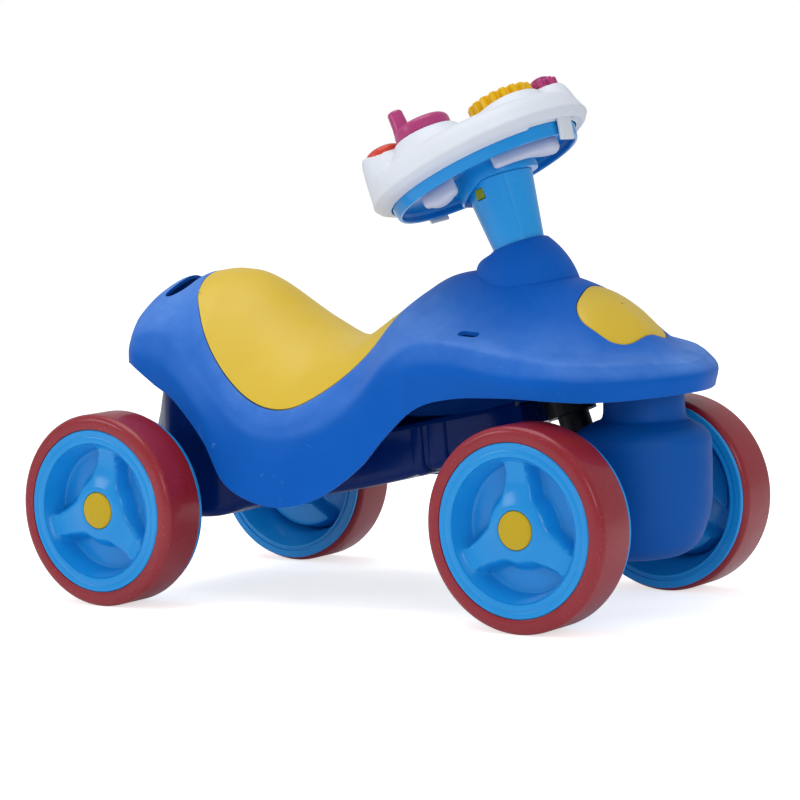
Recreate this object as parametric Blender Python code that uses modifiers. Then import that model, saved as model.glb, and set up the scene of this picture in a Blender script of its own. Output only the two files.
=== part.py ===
"""Kids ride-on car: a foot-to-floor saddle car with an activity steering wheel.

Units are metres. +X is forward, +Y is the rider's left and +Z is up. The origin is on the floor, in
the middle of the car's length and width. Sections are written in millimetres and turned to metres
by mm().
"""
import math

import bmesh
import bpy
from mathutils import Matrix, Vector
from mathutils.bvhtree import BVHTree

# Driving sizes of the running gear
WHEEL_RADIUS = 0.085
WHEEL_WIDTH = 0.050
WHEELBASE = 0.4228
FRONT_TRACK = 0.280
REAR_TRACK = 0.328
REAR_AXLE_X = -0.2184
FRONT_AXLE_X = REAR_AXLE_X + WHEELBASE
AXLE_RADIUS = 0.004
SEAT_GAP = 0.0003

# Wheel rim: radii, and depths measured inwards from the wheel's outer face
TYRE_DEPTH = 0.0105
TYRE_SHOULDER = 0.57 * TYRE_DEPTH
RIM_BARREL_RADIUS = WHEEL_RADIUS - TYRE_DEPTH
RIM_FACE_RADIUS = RIM_BARREL_RADIUS - 0.0029
RIM_FLANGE_RADIUS = WHEEL_RADIUS - 0.0035
RIM_FLANGE_WIDTH = 0.004
RIM_BAND_RADIUS = RIM_FACE_RADIUS - 0.0121
RIM_WALL = 0.003
RIM_DISH_DEPTH = 0.024
RIM_SPOKES = 3
SPOKE_WIDTH = 0.019
SPOKE_FACE_DEPTH = 0.005
RIM_HUB_RADIUS = 0.0205
HUB_FACE_DEPTH = 0.004
HUB_SLEEVE_RADIUS = 0.0120
WHEEL_STEPS = 24
AXLE_BORE_CLEARANCE = 0.00035
CAP_RADIUS = 0.0160
CAP_THICKNESS = 0.0040
CAP_GAP = 0.0003
LOCK_RADIUS = 0.0078
LOCK_THICKNESS = 0.0015

# Steering
STEER_TILT = math.radians(18.7)
STEER_LIMIT = math.radians(20.0)
COLUMN_LOW_RADIUS = 0.0210
COLUMN_TOP_RADIUS = 0.0300
COLUMN_LOW = 0.2250
COLUMN_TOP = 0.2925
TURRET_TOP = 0.2344
TURRET_CLEARANCE = 0.0010
TUBE_RADIUS = 0.0137
TUBE_WALL = 0.0020
TUBE_LOW = -0.0120
TUBE_TOP = 0.2900
FIT_GAP = 0.0003
BEARING_DROP = 0.0145
BEARING_HEIGHT = 0.0150
BEARING_RADIUS = 0.0210
FAIRING_WALL = 0.003

# Steering wheel console
CONSOLE_TILT = math.radians(26.0)
CONSOLE_X = 0.0916
CONSOLE_Z = 0.3817
CONSOLE_RADIUS = 0.100
CONSOLE_WALL = 0.0025
CONSOLE_STEPS = 32
DECK_HEIGHT = 0.025
SHELL_LOW = -0.008
DISH_TOP_RADIUS = 0.0866
DISH_LOW_RADIUS = 0.0835
DISH_LOW = -0.0210
DISH_WALL = 0.003
HUB_CUP_RADIUS = 0.0360
GRIP_RADIUS = 0.0040
GEAR_PITCH = 0.0096
BIG_GEAR_TEETH = 18
SMALL_GEAR_TEETH = 8
TOOTH_HEIGHT = 0.0042
GEAR_BACKLASH = 0.0006
GEAR_THICKNESS = 0.008
GEAR_PIN_RADIUS = 0.0040
GEAR_PIN_HEAD = 0.0080
KNOB_RADIUS = 0.0248
KNOB_THICKNESS = 0.012
PEG_ANGLE = math.radians(219.0)
PEG_RADIUS = 0.0066
PEG_HEIGHT = 0.0168
PEG_OFFSET = KNOB_RADIUS - PEG_RADIUS * 1.15 - 0.0010
BUTTON_RADIUS = 0.0165
BUTTON_GAP = 0.0004
BUTTON_TRAVEL = 0.0030

# Body shell
SHELL_WALL = 0.003
SEAT_RECESS = 0.0046
SEAT_THICKNESS = 0.0040
SEAT_EDGE_GAP = 0.0012
LAMP_DEPTH = 0.0050
LAMP_CROWN = 0.0012
LAMP_GAP = 0.0004
COLUMN_FINE = 2
ROW_FINE = 1

# Chassis
TRAY_WALL = 0.003
POST_RADIUS = 0.008
SCREW_RADIUS = 0.0018
SCREW_HEAD_RADIUS = 0.0042
SCREW_HEAD_HEIGHT = 0.0022
SCREW_GAP = 0.0003
SCREW_LENGTH = 0.018


def mm(*values):
    """A point or a length given in millimetres, in metres."""
    scaled = [value / 1000.0 for value in values]
    return scaled[0] if len(scaled) == 1 else Vector(scaled)


# Scene, collections and materials


def clear_scene():
    for item in list(bpy.data.objects):
        bpy.data.objects.remove(item)


def make_collection(name):
    made = bpy.data.collections.new(name)
    bpy.context.scene.collection.children.link(made)
    return made


def make_material(name, colour, roughness, metallic=0.0):
    made = bpy.data.materials.new(name)
    made.use_nodes = True
    shader = made.node_tree.nodes["Principled BSDF"]
    shader.inputs["Base Color"].default_value = (*colour, 1.0)
    shader.inputs["Roughness"].default_value = roughness
    shader.inputs["Metallic"].default_value = metallic
    made.diffuse_color = (*colour, 1.0)
    return made


clear_scene()
CAR = make_collection("kids_ride_on_car")
CUTTERS = make_collection("cutters")
BODY_BLUE = make_material("body_blue", (0.010, 0.085, 0.560), 0.55)
SEAT_YELLOW = make_material("seat_yellow", (0.750, 0.520, 0.015), 0.50)
CHASSIS_NAVY = make_material("chassis_navy", (0.004, 0.030, 0.180), 0.25)
SKY_BLUE = make_material("sky_blue", (0.012, 0.250, 0.720), 0.22)
TYRE_RED = make_material("tyre_red", (0.310, 0.012, 0.020), 0.38)
CAP_YELLOW = make_material("cap_yellow", (0.800, 0.500, 0.010), 0.40)
SHELL_WHITE = make_material("shell_white", (0.780, 0.800, 0.850), 0.35)
MAGENTA = make_material("magenta", (0.450, 0.015, 0.120), 0.35)
HORN_RED = make_material("horn_red", (0.600, 0.040, 0.020), 0.35)
GEAR_YELLOW = make_material("gear_yellow", (0.850, 0.520, 0.005), 0.35)
FRAME_BLACK = make_material("frame_black", (0.008, 0.008, 0.009), 0.45)
STEEL = make_material("steel", (0.550, 0.550, 0.560), 0.30, 1.0)
TAB_GREEN = make_material("tab_green", (0.450, 0.520, 0.020), 0.40)


# Modelling helpers


def show(mesh, name, material=None, cutter=False):
    """Put a mesh in the scene as a named part, or as a hidden cutter."""
    item = bpy.data.objects.new(name, mesh)
    (CUTTERS if cutter else CAR).objects.link(item)
    if cutter:
        item.hide_render = True
        item.display_type = "WIRE"
    if material:
        mesh.materials.clear()
        mesh.materials.append(material)
    return item


def mesh_of(bm, name, smooth=True):
    mesh = bpy.data.meshes.new(name)
    bm.to_mesh(mesh)
    bm.free()
    if smooth:
        mesh.shade_smooth()
        mesh.set_sharp_from_angle(angle=math.radians(35))
    return mesh


def outward(bm):
    bmesh.ops.recalc_face_normals(bm, faces=bm.faces[:])


def evaluated_mesh(item):
    """A plain mesh of the item with its modifiers and its place applied."""
    graph = bpy.context.evaluated_depsgraph_get()
    graph.update()
    mesh = bpy.data.meshes.new_from_object(item.evaluated_get(graph))
    mesh.transform(item.matrix_world)
    return mesh


def settled(item):
    """Replace the item's mesh by its evaluated one, so that a later cut reads plain geometry."""
    bpy.context.view_layer.update()
    mesh = evaluated_mesh(item)
    item.modifiers.clear()
    item.data = mesh
    item.matrix_world = Matrix.Identity(4)
    return item


def boolean(item, other, operation):
    step = item.modifiers.new(operation.lower(), "BOOLEAN")
    step.object = other
    step.operation = operation
    step.solver = "EXACT"
    settled(item)
    if other.name in CAR.objects:
        bpy.data.objects.remove(other)
    return item


def cut(item, cutter):
    return boolean(item, cutter, "DIFFERENCE")


def join(item, other):
    return boolean(item, other, "UNION")


def box(name, size, centre, material=None, cutter=False, round_edge=0.0, turn=None):
    bm = bmesh.new()
    bmesh.ops.create_cube(bm, size=1.0)
    bmesh.ops.scale(bm, vec=size, verts=bm.verts[:])
    if round_edge:
        bmesh.ops.bevel(
            bm,
            geom=bm.edges[:],
            offset=round_edge,
            segments=1,
            profile=0.5,
            affect="EDGES",
            material=-1,
        )
    mesh = mesh_of(bm, name)
    mesh.transform(Matrix.Translation(centre) @ (turn or Matrix.Identity(4)))
    return show(mesh, name, material, cutter)


def rod(name, radius, start, end, material=None, cutter=False, sides=24, end_radius=None):
    """A straight round bar, or a cone, between two points."""
    start, end = Vector(start), Vector(end)
    along = end - start
    bm = bmesh.new()
    bmesh.ops.create_cone(
        bm,
        cap_ends=True,
        segments=sides,
        radius1=radius,
        radius2=radius if end_radius is None else end_radius,
        depth=along.length,
    )
    mesh = mesh_of(bm, name)
    turn = along.to_track_quat("Z", "Y").to_matrix().to_4x4()
    mesh.transform(Matrix.Translation((start + end) / 2) @ turn)
    return show(mesh, name, material, cutter)


def turned(name, profile, place, material=None, cutter=False, steps=32, closed=True):
    """Turn a profile of (radius, height) points about Z, then set it on the given place.

    A closed profile makes a ring, and an open one starts and ends on the axis.
    """
    bm = bmesh.new()
    points = [bm.verts.new((radius, 0.0, height)) for radius, height in profile]
    pairs = list(zip(points, points[1:]))
    if closed:
        pairs.append((points[-1], points[0]))
    for first, second in pairs:
        bm.edges.new((first, second))
    item = show(mesh_of(bm, name, smooth=False), name, material, cutter)
    screw = item.modifiers.new("turn", "SCREW")
    screw.steps = steps
    screw.render_steps = steps
    screw.use_merge_vertices = True
    screw.merge_threshold = 0.00001
    screw.use_smooth_shade = True
    settled(item)
    bm = bmesh.new()
    bm.from_mesh(item.data)
    outward(bm)
    bm.to_mesh(item.data)
    bm.free()
    item.data.shade_smooth()
    item.data.set_sharp_from_angle(angle=math.radians(35))
    item.data.transform(place)
    return item


def loft(grid, name, ring=False):
    """A bmesh with a face between neighbouring points of a grid of points.

    Each row of the grid closes on itself where ring is set.
    """
    bm = bmesh.new()
    verts = [[bm.verts.new(point) for point in row] for row in grid]
    count = len(grid[0])
    for low, high in zip(verts, verts[1:]):
        for i in range(count if ring else count - 1):
            k = (i + 1) % count
            bm.faces.new((low[i], low[k], high[k], high[i]))
    return bm


def thicken(mesh_item, wall, offset=-1.0):
    step = mesh_item.modifiers.new("wall", "SOLIDIFY")
    step.thickness = wall
    step.offset = offset
    step.use_even_offset = True
    step.use_quality_normals = True
    return settled(mesh_item)


# Places that the steering shares

STEER_AXIS = Vector((-math.sin(STEER_TILT), 0.0, math.cos(STEER_TILT)))
FRONT_AXLE = Vector((FRONT_AXLE_X, 0.0, WHEEL_RADIUS))
REAR_AXLE = Vector((REAR_AXLE_X, 0.0, WHEEL_RADIUS))
STEER_PLACE = Matrix.Translation(FRONT_AXLE) @ Matrix.Rotation(-STEER_TILT, 4, "Y")
CONSOLE_PLACE = Matrix.Translation((CONSOLE_X, 0.0, CONSOLE_Z)) @ Matrix.Rotation(-CONSOLE_TILT, 4, "Y")


def along_steer(distance):
    """The point on the steering axis at a distance above the front axle."""
    return FRONT_AXLE + STEER_AXIS * distance


# Body shell: guide sections from the tail's middle, round the rider's left side, to the nose's
# middle. Each runs from the spine down to the lower rim: spine, shoulder, seat edge, crease, side
# and rim.

SECTIONS = (
    ((-241, 0, 278), (-255, 0, 267), (-265, 0, 252), (-269, 0, 236), (-270, 0, 220), (-269, 0, 206)),
    ((-235, 0, 280), (-246, 24, 268), (-255, 40, 251), (-259, 49, 235), (-260, 54, 220), (-259, 56, 206)),
    ((-225, 0, 282), (-227, 42, 268), (-231, 68, 249), (-232, 82, 234), (-232, 88, 220), (-231, 90, 207)),
    ((-197, 0, 286), (-191, 32, 281), (-175, 62, 267), (-195, 90, 238), (-200, 97, 214), (-199, 99, 191)),
    ((-171, 0, 288), (-167, 42, 278), (-159, 80, 245), (-169, 98, 218), (-171, 104, 198), (-171, 105, 177)),
    ((-141, 0, 281), (-139, 52, 258), (-132, 94, 211), (-131, 107, 186), (-137, 112, 168), (-135, 112, 144)),
    ((-98, 0, 257), (-96, 56, 236), (-93, 101, 179), (-91, 113, 157), (-101, 116, 130), (-107, 117, 106)),
    ((-53, 0, 233), (-53, 58, 216), (-53, 103, 171), (-51, 115, 149), (-51, 119, 118), (-59, 119, 90)),
    ((-15, 0, 233), (-15, 56, 220), (-15, 98, 185), (-5, 113, 160), (-3, 116, 128), (-11, 117, 98)),
    ((21, 0, 255), (21, 48, 242), (19, 83, 212), (29, 109, 184), (33, 112, 158), (31, 112, 124)),
    ((51, 0, 274), (50, 34, 266), (41, 62, 246), (59, 107, 215), (63, 110, 192), (59, 110, 152)),
    ((81, 0, 285), (81, 34, 279), (83, 74, 250), (89, 106, 231), (91, 113, 210), (91, 110, 177)),
    ((132, 0, 287), (132, 36, 280), (133, 78, 243), (131, 110, 233), (131, 116, 212), (131, 113, 187)),
    ((182, 0, 279), (183, 38, 269), (185, 78, 239), (183, 112, 224), (184, 119, 206), (184, 116, 189)),
    ((222, 0, 261), (222, 36, 252), (225, 74, 227), (228, 108, 218), (231, 115, 204), (230, 113, 187)),
    ((256, 0, 231), (254, 34, 224), (252, 64, 218), (250, 92, 215), (257, 98, 202), (255, 97, 185)),
    ((274, 0, 217), (273, 24, 216), (272, 42, 215), (274, 58, 213), (283, 62, 201), (281, 60, 185)),
    ((285, 0, 213), (288, 0, 212), (290, 0, 211), (293, 0, 210), (302, 0, 201), (300, 0, 186)),
)
SEAT_FIRST = 3
SEAT_LAST = 10
SEAT_ROWS = 2


def spline(before, first, second, after, share):
    """The point at a share of the way between first and second, on a smooth curve through all."""
    square, cube = share * share, share * share * share
    return 0.5 * (
        2.0 * first
        + (second - before) * share
        + (2.0 * before - 5.0 * first + 4.0 * second - after) * square
        + (3.0 * first - before - 3.0 * second + after) * cube
    )


def flipped(point):
    return Vector((point.x, -point.y, point.z))


def finer(points, count, start, end):
    """A line of points made finer, with the points that come before its start and after its end."""
    chain = [start, *points, end]
    made = []
    for i in range(len(points) - 1):
        for k in range(count):
            made.append(spline(chain[i], chain[i + 1], chain[i + 2], chain[i + 3], k / count))
    made.append(points[-1])
    return made


def body_grid(column_fine, row_fine):
    """The left half of the body's outer skin: one row of points for each column of the sections."""
    sections = [[mm(*point) for point in section] for section in SECTIONS]
    rows = []
    for r in range(len(sections[0])):
        line = [section[r] for section in sections]
        rows.append(finer(line, column_fine, flipped(line[1]), flipped(line[-2])))
    grid = []
    for c in range(len(rows[0])):
        line = [row[c] for row in rows]
        low_end = 2.0 * line[-1] - line[-2]
        grid.append(finer(line, row_fine, flipped(line[1]), low_end))
    for column in grid:
        column[0].y = 0.0
    for point in grid[0] + grid[-1]:
        point.y = 0.0
    return grid


def body_skin(column_fine, row_fine):
    """The whole outer skin, with the faces under the seat marked in the layer 'seat'."""
    bm = loft(body_grid(column_fine, row_fine), "body_skin")
    seat = bm.faces.layers.int.new("seat")
    bm.faces.ensure_lookup_table()
    per_column = row_fine * (len(SECTIONS[0]) - 1)
    for index, face in enumerate(bm.faces):
        column, row = divmod(index, per_column)
        in_columns = SEAT_FIRST * column_fine <= column < SEAT_LAST * column_fine
        if in_columns and row < SEAT_ROWS * row_fine:
            face[seat] = 1
    bmesh.ops.mirror(bm, geom=bm.verts[:] + bm.edges[:] + bm.faces[:], axis="Y", merge_dist=0.00001)
    bmesh.ops.remove_doubles(bm, verts=bm.verts[:], dist=0.00001)
    outward_from_inside(bm)
    return bm, seat


def outward_from_inside(bm):
    """Turn the faces of an open shell away from its inside, judged by the topmost face."""
    outward(bm)
    top = max(bm.faces, key=lambda face: face.calc_center_median().z)
    if top.normal.z < 0:
        bmesh.ops.reverse_faces(bm, faces=bm.faces[:])


def seat_faces(bm, seat):
    return [face for face in bm.faces if face[seat]]


def make_outer_guide():
    """The smooth outer skin without its seat recess, as a tree to drop other pieces onto."""
    bm, _ = body_skin(COLUMN_FINE, ROW_FINE)
    tree = BVHTree.FromBMesh(bm)
    bm.free()
    return tree


def height_over(tree, x, y, start=0.6):
    hit = tree.ray_cast(Vector((x, y, start)), Vector((0.0, 0.0, -1.0)))[0]
    return hit.z


OUTER = make_outer_guide()

# Lamp in the hood: its outline on the left, from the rear middle to the front middle

LAMP_OUTLINE = ((200, 0), (204, 24), (209, 40), (219, 48), (231, 46), (245, 36), (254, 20), (257, 0))
LAMP_CENTRE = (229, 0)


def lamp_ring(scale_in):
    """The lamp's closed outline, moved inwards by a distance."""
    left = [Vector((mm(x), mm(y))) for x, y in LAMP_OUTLINE]
    fine = finer(left, 2, Vector((left[1].x, -left[1].y)), Vector((left[-2].x, -left[-2].y)))
    ring = fine + [Vector((point.x, -point.y)) for point in reversed(fine[1:-1])]
    centre = Vector((mm(LAMP_CENTRE[0]), 0.0))
    moved = [centre + (point - centre) * (1.0 - scale_in / (point - centre).length) for point in ring]
    return moved, centre


def make_lamp():
    """A lens with upright sides, whose crown follows the hood and stands a little proud of it."""
    ring, centre = lamp_ring(LAMP_GAP)
    shares = (1.0, 0.66, 0.3)
    crown = []
    for share in shares:
        row = []
        for point in ring:
            place = centre + (point - centre) * share
            rise = LAMP_CROWN * (1.0 - share ** 4)
            row.append(Vector((place.x, place.y, height_over(OUTER, place.x, place.y) + rise)))
        crown.append(row)
    drop = Vector((0.0, 0.0, -LAMP_DEPTH))
    back = [[point + drop for point in row] for row in reversed(crown)]
    bm = loft(crown + back, "lamp", ring=True)
    bm.verts.ensure_lookup_table()
    count = len(ring)
    loop = [bm.verts[(len(shares) - 1) * count + i] for i in range(count)]
    low = [bm.verts[len(shares) * count + i] for i in range(count)]
    walls = [face for face in bm.faces if all(v in loop or v in low for v in face.verts)]
    bmesh.ops.delete(bm, geom=walls, context="FACES_ONLY")
    bm.faces.new(loop)
    bm.faces.new(low)
    outer = [bm.verts[i] for i in range(count)]
    last = [bm.verts[(2 * len(shares) - 1) * count + i] for i in range(count)]
    for i in range(count):
        k = (i + 1) % count
        bm.faces.new((outer[i], outer[k], last[k], last[i]))
    outward(bm)
    return show(mesh_of(bm, "hood_lamp"), "hood_lamp", SEAT_YELLOW)


def lamp_cutter():
    ring, _ = lamp_ring(0.0)
    low = [Vector((point.x, point.y, mm(200))) for point in ring]
    high = [Vector((point.x, point.y, mm(300))) for point in ring]
    bm = loft([low, high], "lamp_cutter", ring=True)
    bm.verts.ensure_lookup_table()
    count = len(ring)
    bm.faces.new([bm.verts[i] for i in range(count)])
    bm.faces.new([bm.verts[count + i] for i in range(count)])
    outward(bm)
    return show(mesh_of(bm, "lamp_cutter"), "lamp_cutter", cutter=True)


# Turret: the collar that the steering column passes through

TURRET_PROFILE = ((24.6, 234.4), (26.6, 232.5), (31.0, 226.0), (36.0, 217.0), (40.5, 207.0), (42.5, 192.0))


def make_turret():
    outline = [(0.0, TURRET_TOP)]
    outline += [(mm(radius), mm(height)) for radius, height in TURRET_PROFILE]
    outline += [(0.0, mm(190.0))]
    return turned("turret", outline, STEER_PLACE, BODY_BLUE, closed=False, steps=28)


def turret_bore():
    bore = COLUMN_LOW_RADIUS + TURRET_CLEARANCE + (TURRET_TOP - COLUMN_LOW) * column_slope()
    outline = (
        (0.0, 0.26),
        (bore, 0.26),
        (bore, TURRET_TOP - 0.0035),
        (mm(28.0), mm(224.5)),
        (mm(37.0), mm(206.0)),
        (mm(39.0), mm(180.0)),
        (0.0, mm(180.0)),
    )
    return turned("turret_bore", outline, STEER_PLACE, cutter=True, closed=False, steps=28)


def column_slope():
    return (COLUMN_TOP_RADIUS - COLUMN_LOW_RADIUS) / (COLUMN_TOP - COLUMN_LOW)


CARRY_SLOT_X = -0.2165
CARRY_SLOT_HALF = 0.040
CARRY_SLOT_RADIUS = 0.0105
HOOD_SLOT_PLACE = (0.1335, 0.0875)
HOOD_SLOT_HALF = 0.0055
HOOD_SLOT_RADIUS = 0.0045


def slot_cutter(name, centre, half, radius, across, low, high):
    """An upright slot with round ends, lying across the car or along it."""
    bm = bmesh.new()
    sides = 12
    ring = []
    for i in range(sides + 2):
        left = i <= sides // 2
        step = i if left else i - 1
        angle = 2.0 * math.pi * step / sides
        run = (half if left else -half) + radius * math.sin(angle)
        rise = radius * math.cos(angle)
        x, y = (rise, run) if across else (run, rise)
        ring.append(bm.verts.new((centre[0] + x, centre[1] + y, low)))
    made = bmesh.ops.extrude_face_region(bm, geom=[bm.faces.new(ring)])
    moved = [v for v in made["geom"] if isinstance(v, bmesh.types.BMVert)]
    bmesh.ops.translate(bm, vec=(0.0, 0.0, high - low), verts=moved)
    outward(bm)
    return show(mesh_of(bm, name), name, cutter=True)


def make_body():
    bm, seat = body_skin(COLUMN_FINE, ROW_FINE)
    bmesh.ops.inset_region(
        bm,
        faces=seat_faces(bm, seat),
        thickness=0.0008,
        depth=-SEAT_RECESS,
        use_boundary=True,
        use_even_offset=True,
    )
    bmesh.ops.recalc_face_normals(bm, faces=bm.faces[:])
    outward_from_inside(bm)
    body = show(mesh_of(bm, "saddle_shell"), "saddle_shell", BODY_BLUE)
    thicken(body, SHELL_WALL)
    join(body, make_turret())
    cut(body, turret_bore())
    cut(body, lamp_cutter())
    carry = (CARRY_SLOT_X, 0.0)
    cut(body, slot_cutter("carry_slot", carry, CARRY_SLOT_HALF, CARRY_SLOT_RADIUS, True, 0.24, 0.31))
    for side in (-1, 1):
        place = (HOOD_SLOT_PLACE[0], side * HOOD_SLOT_PLACE[1])
        cut(body, slot_cutter("hood_slot", place, HOOD_SLOT_HALF, HOOD_SLOT_RADIUS, False, 0.2, 0.3))
    return body


def make_seat():
    bm, seat = body_skin(COLUMN_FINE, ROW_FINE)
    loose = [face for face in bm.faces if not face[seat]]
    bmesh.ops.delete(bm, geom=loose, context="FACES")
    rim = bmesh.ops.inset_region(bm, faces=bm.faces[:], thickness=SEAT_EDGE_GAP, depth=0.0, use_boundary=True)
    bmesh.ops.delete(bm, geom=rim["faces"], context="FACES")
    outward_from_inside(bm)
    item = show(mesh_of(bm, "seat_pad"), "seat_pad", SEAT_YELLOW)
    return thicken(item, SEAT_THICKNESS)


# Chassis tray: half sections as (x, half width, floor height, rim height)

TRAY_STATIONS = (
    (-254, 44, 104, 196),
    (-249, 54, 86, 201),
    (-238, 69, 73, 203),
    (-220, 80, 70, 203),
    (-172, 86, 70, 199),
    (-150, 84, 72, 178),
    (-132, 74, 78, 158),
    (-95, 64, 86, 150),
    (-32, 60, 95, 147),
    (35, 58, 109, 152),
    (85, 54, 127, 162),
    (128, 44, 148, 170),
    (147, 34, 157, 175),
)
TRAY_FLANGE = 0.006
POSTS = ((-190, 50), (-60, 42), (70, 34))


def tray_section(half_width, floor, rim):
    """Points from the flange's outer edge down the side, across the floor and up again."""
    corner = min(0.012, (rim - floor) * 0.4)
    left = [
        (half_width + TRAY_FLANGE, rim),
        (half_width, rim),
        (half_width - 0.002, floor + corner),
        (half_width - 0.002 - corner * 0.3, floor + corner * 0.3),
        (half_width - 0.002 - corner, floor),
    ]
    return left + [(-y, z) for y, z in reversed(left)]


def make_tray():
    grid = []
    for x, half_width, floor, rim in TRAY_STATIONS:
        grid.append([Vector((mm(x), y, z)) for y, z in tray_section(mm(half_width), mm(floor), mm(rim))])
    bm = loft(grid, "tray")
    bm.verts.ensure_lookup_table()
    count = len(grid[0])
    for start in (0, (len(grid) - 1) * count):
        bm.faces.new([bm.verts[start + i] for i in range(1, count - 1)])
    outward(bm)
    bottom = min(bm.faces, key=lambda face: face.calc_center_median().z)
    if bottom.normal.z > 0:
        bmesh.ops.reverse_faces(bm, faces=bm.faces[:])
    tray = show(mesh_of(bm, "chassis_tray"), "chassis_tray", CHASSIS_NAVY)
    return thicken(tray, TRAY_WALL)


def read_between(rows, at, column):
    """The value in a column of a table at a place along its first column."""
    for first, second in zip(rows, rows[1:]):
        if mm(first[0]) <= at <= mm(second[0]):
            share = (at - mm(first[0])) / (mm(second[0]) - mm(first[0]))
            return mm(first[column]) * (1.0 - share) + mm(second[column]) * share
    return mm(rows[-1][column])


def tray_floor(x):
    """The height of the tray's outer floor at a place along the car."""
    return read_between(TRAY_STATIONS, x, 2)


def tray_half_width(x):
    return read_between(TRAY_STATIONS, x, 1)


def inner_height(tree, x, y, radius):
    """The lowest height of the shell's underside over a round post."""
    heights = []
    radius += SEAT_GAP
    for i in range(32):
        angle = 2.0 * math.pi * i / 32
        start = Vector((x + radius * math.cos(angle), y + radius * math.sin(angle), mm(150)))
        hit = tree.ray_cast(start, Vector((0.0, 0.0, 1.0)))[0]
        if hit:
            heights.append(hit.z)
    return min(heights)


def make_posts(tray, body):
    """Round posts from the tray's floor up to the shell, with a screw up the middle of each."""
    bm = bmesh.new()
    bm.from_mesh(body.data)
    tree = BVHTree.FromBMesh(bm)
    bm.free()
    for x, y in POSTS:
        for side in (-1, 1):
            top = inner_height(tree, mm(x), side * mm(y), POST_RADIUS) - SEAT_GAP
            floor = tray_floor(mm(x))
            foot = (mm(x), side * mm(y), floor + TRAY_WALL * 0.5)
            join(tray, rod("post", POST_RADIUS, foot, (mm(x), side * mm(y), top), sides=12))
    for x, y in POSTS:
        for side in (-1, 1):
            low, high = screw_ends(mm(x), side * mm(y))
            below = low - Vector((0.0, 0.0, 0.01))
            hole_radius = SCREW_RADIUS + SCREW_GAP
            hole_end = high + Vector((0.0, 0.0, SCREW_GAP))
            cut(tray, rod("screw_hole", hole_radius, below, hole_end, cutter=True, sides=8))
            sink_radius = SCREW_HEAD_RADIUS + 2 * SCREW_GAP
            sink_end = low + Vector((0.0, 0.0, SCREW_HEAD_HEIGHT + SCREW_GAP))
            cut(tray, rod("screw_sink", sink_radius, below, sink_end, cutter=True, sides=10))


def screw_ends(x, y):
    """The underside of a screw's head, just inside the floor, and the top of its shank."""
    low = Vector((x, y, tray_floor(x) + SCREW_GAP))
    return low, low + Vector((0.0, 0.0, SCREW_LENGTH))


def make_screw(name, x, y):
    """A pan-head screw that comes up from below, its head sunk in the tray's floor."""
    low, high = screw_ends(x, y)
    head_top = low.z + SCREW_HEAD_HEIGHT
    shank = high.z
    outline = (
        (0.0, shank),
        (SCREW_RADIUS, shank),
        (SCREW_RADIUS, head_top),
        (SCREW_HEAD_RADIUS, head_top),
        (SCREW_HEAD_RADIUS, low.z + 0.0008),
        (SCREW_HEAD_RADIUS - 0.0012, low.z),
        (0.0, low.z),
    )
    place = Matrix.Translation((x, y, 0.0))
    return turned(name, outline, place, STEEL, closed=False, steps=8)


# Wheels


def wheel_place(x, outer_y):
    """A place whose Z runs along the axle, from the wheel's outer face inwards as it falls."""
    side = 1.0 if outer_y > 0 else -1.0
    turn = Matrix.Rotation(math.radians(-90.0 * side), 4, "X")
    return Matrix.Translation((x, outer_y, WHEEL_RADIUS)) @ turn


def make_rim(name, place, sleeve_depth):
    bore = AXLE_RADIUS + AXLE_BORE_CLEARANCE
    pocket = CAP_RADIUS + CAP_GAP
    pocket_depth = HUB_FACE_DEPTH + CAP_THICKNESS + LOCK_THICKNESS + 3 * CAP_GAP
    outline = (
        (bore, -pocket_depth),
        (pocket, -pocket_depth),
        (pocket, -HUB_FACE_DEPTH),
        (RIM_HUB_RADIUS, -HUB_FACE_DEPTH),
        (RIM_HUB_RADIUS + 0.002, -RIM_DISH_DEPTH),
        (RIM_BAND_RADIUS - 0.007, -RIM_DISH_DEPTH),
        (RIM_BAND_RADIUS, 0.0),
        (RIM_FACE_RADIUS, 0.0),
        (RIM_FACE_RADIUS, -0.003),
        (RIM_BARREL_RADIUS, -0.004),
        (RIM_BARREL_RADIUS, RIM_FLANGE_WIDTH - WHEEL_WIDTH),
        (RIM_FLANGE_RADIUS, RIM_FLANGE_WIDTH - WHEEL_WIDTH),
        (RIM_FLANGE_RADIUS, -WHEEL_WIDTH),
        (RIM_BARREL_RADIUS - RIM_WALL, -WHEEL_WIDTH),
        (RIM_BAND_RADIUS - 0.003, -RIM_DISH_DEPTH - RIM_WALL),
        (HUB_SLEEVE_RADIUS, -RIM_DISH_DEPTH - RIM_WALL),
        (HUB_SLEEVE_RADIUS, -sleeve_depth),
        (bore, -sleeve_depth),
    )
    rim = turned(name, outline, Matrix.Identity(4), SKY_BLUE, steps=WHEEL_STEPS)
    inner = RIM_HUB_RADIUS - 0.002
    outer = RIM_BAND_RADIUS - 0.001
    height = RIM_DISH_DEPTH - SPOKE_FACE_DEPTH + 0.001
    for i in range(RIM_SPOKES):
        turn = Matrix.Rotation(math.radians(90.0 + 360.0 * i / RIM_SPOKES), 4, "Z")
        middle = turn @ Vector(((inner + outer) / 2, 0.0, -SPOKE_FACE_DEPTH - height / 2))
        spoke = box("spoke", (outer - inner, SPOKE_WIDTH, height), middle, round_edge=0.003, turn=turn)
        join(rim, spoke)
    rim.data.materials.clear()
    rim.data.materials.append(SKY_BLUE)
    rim.data.transform(place)
    rim.data.shade_smooth()
    rim.data.set_sharp_from_angle(angle=math.radians(35))
    return rim


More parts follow.
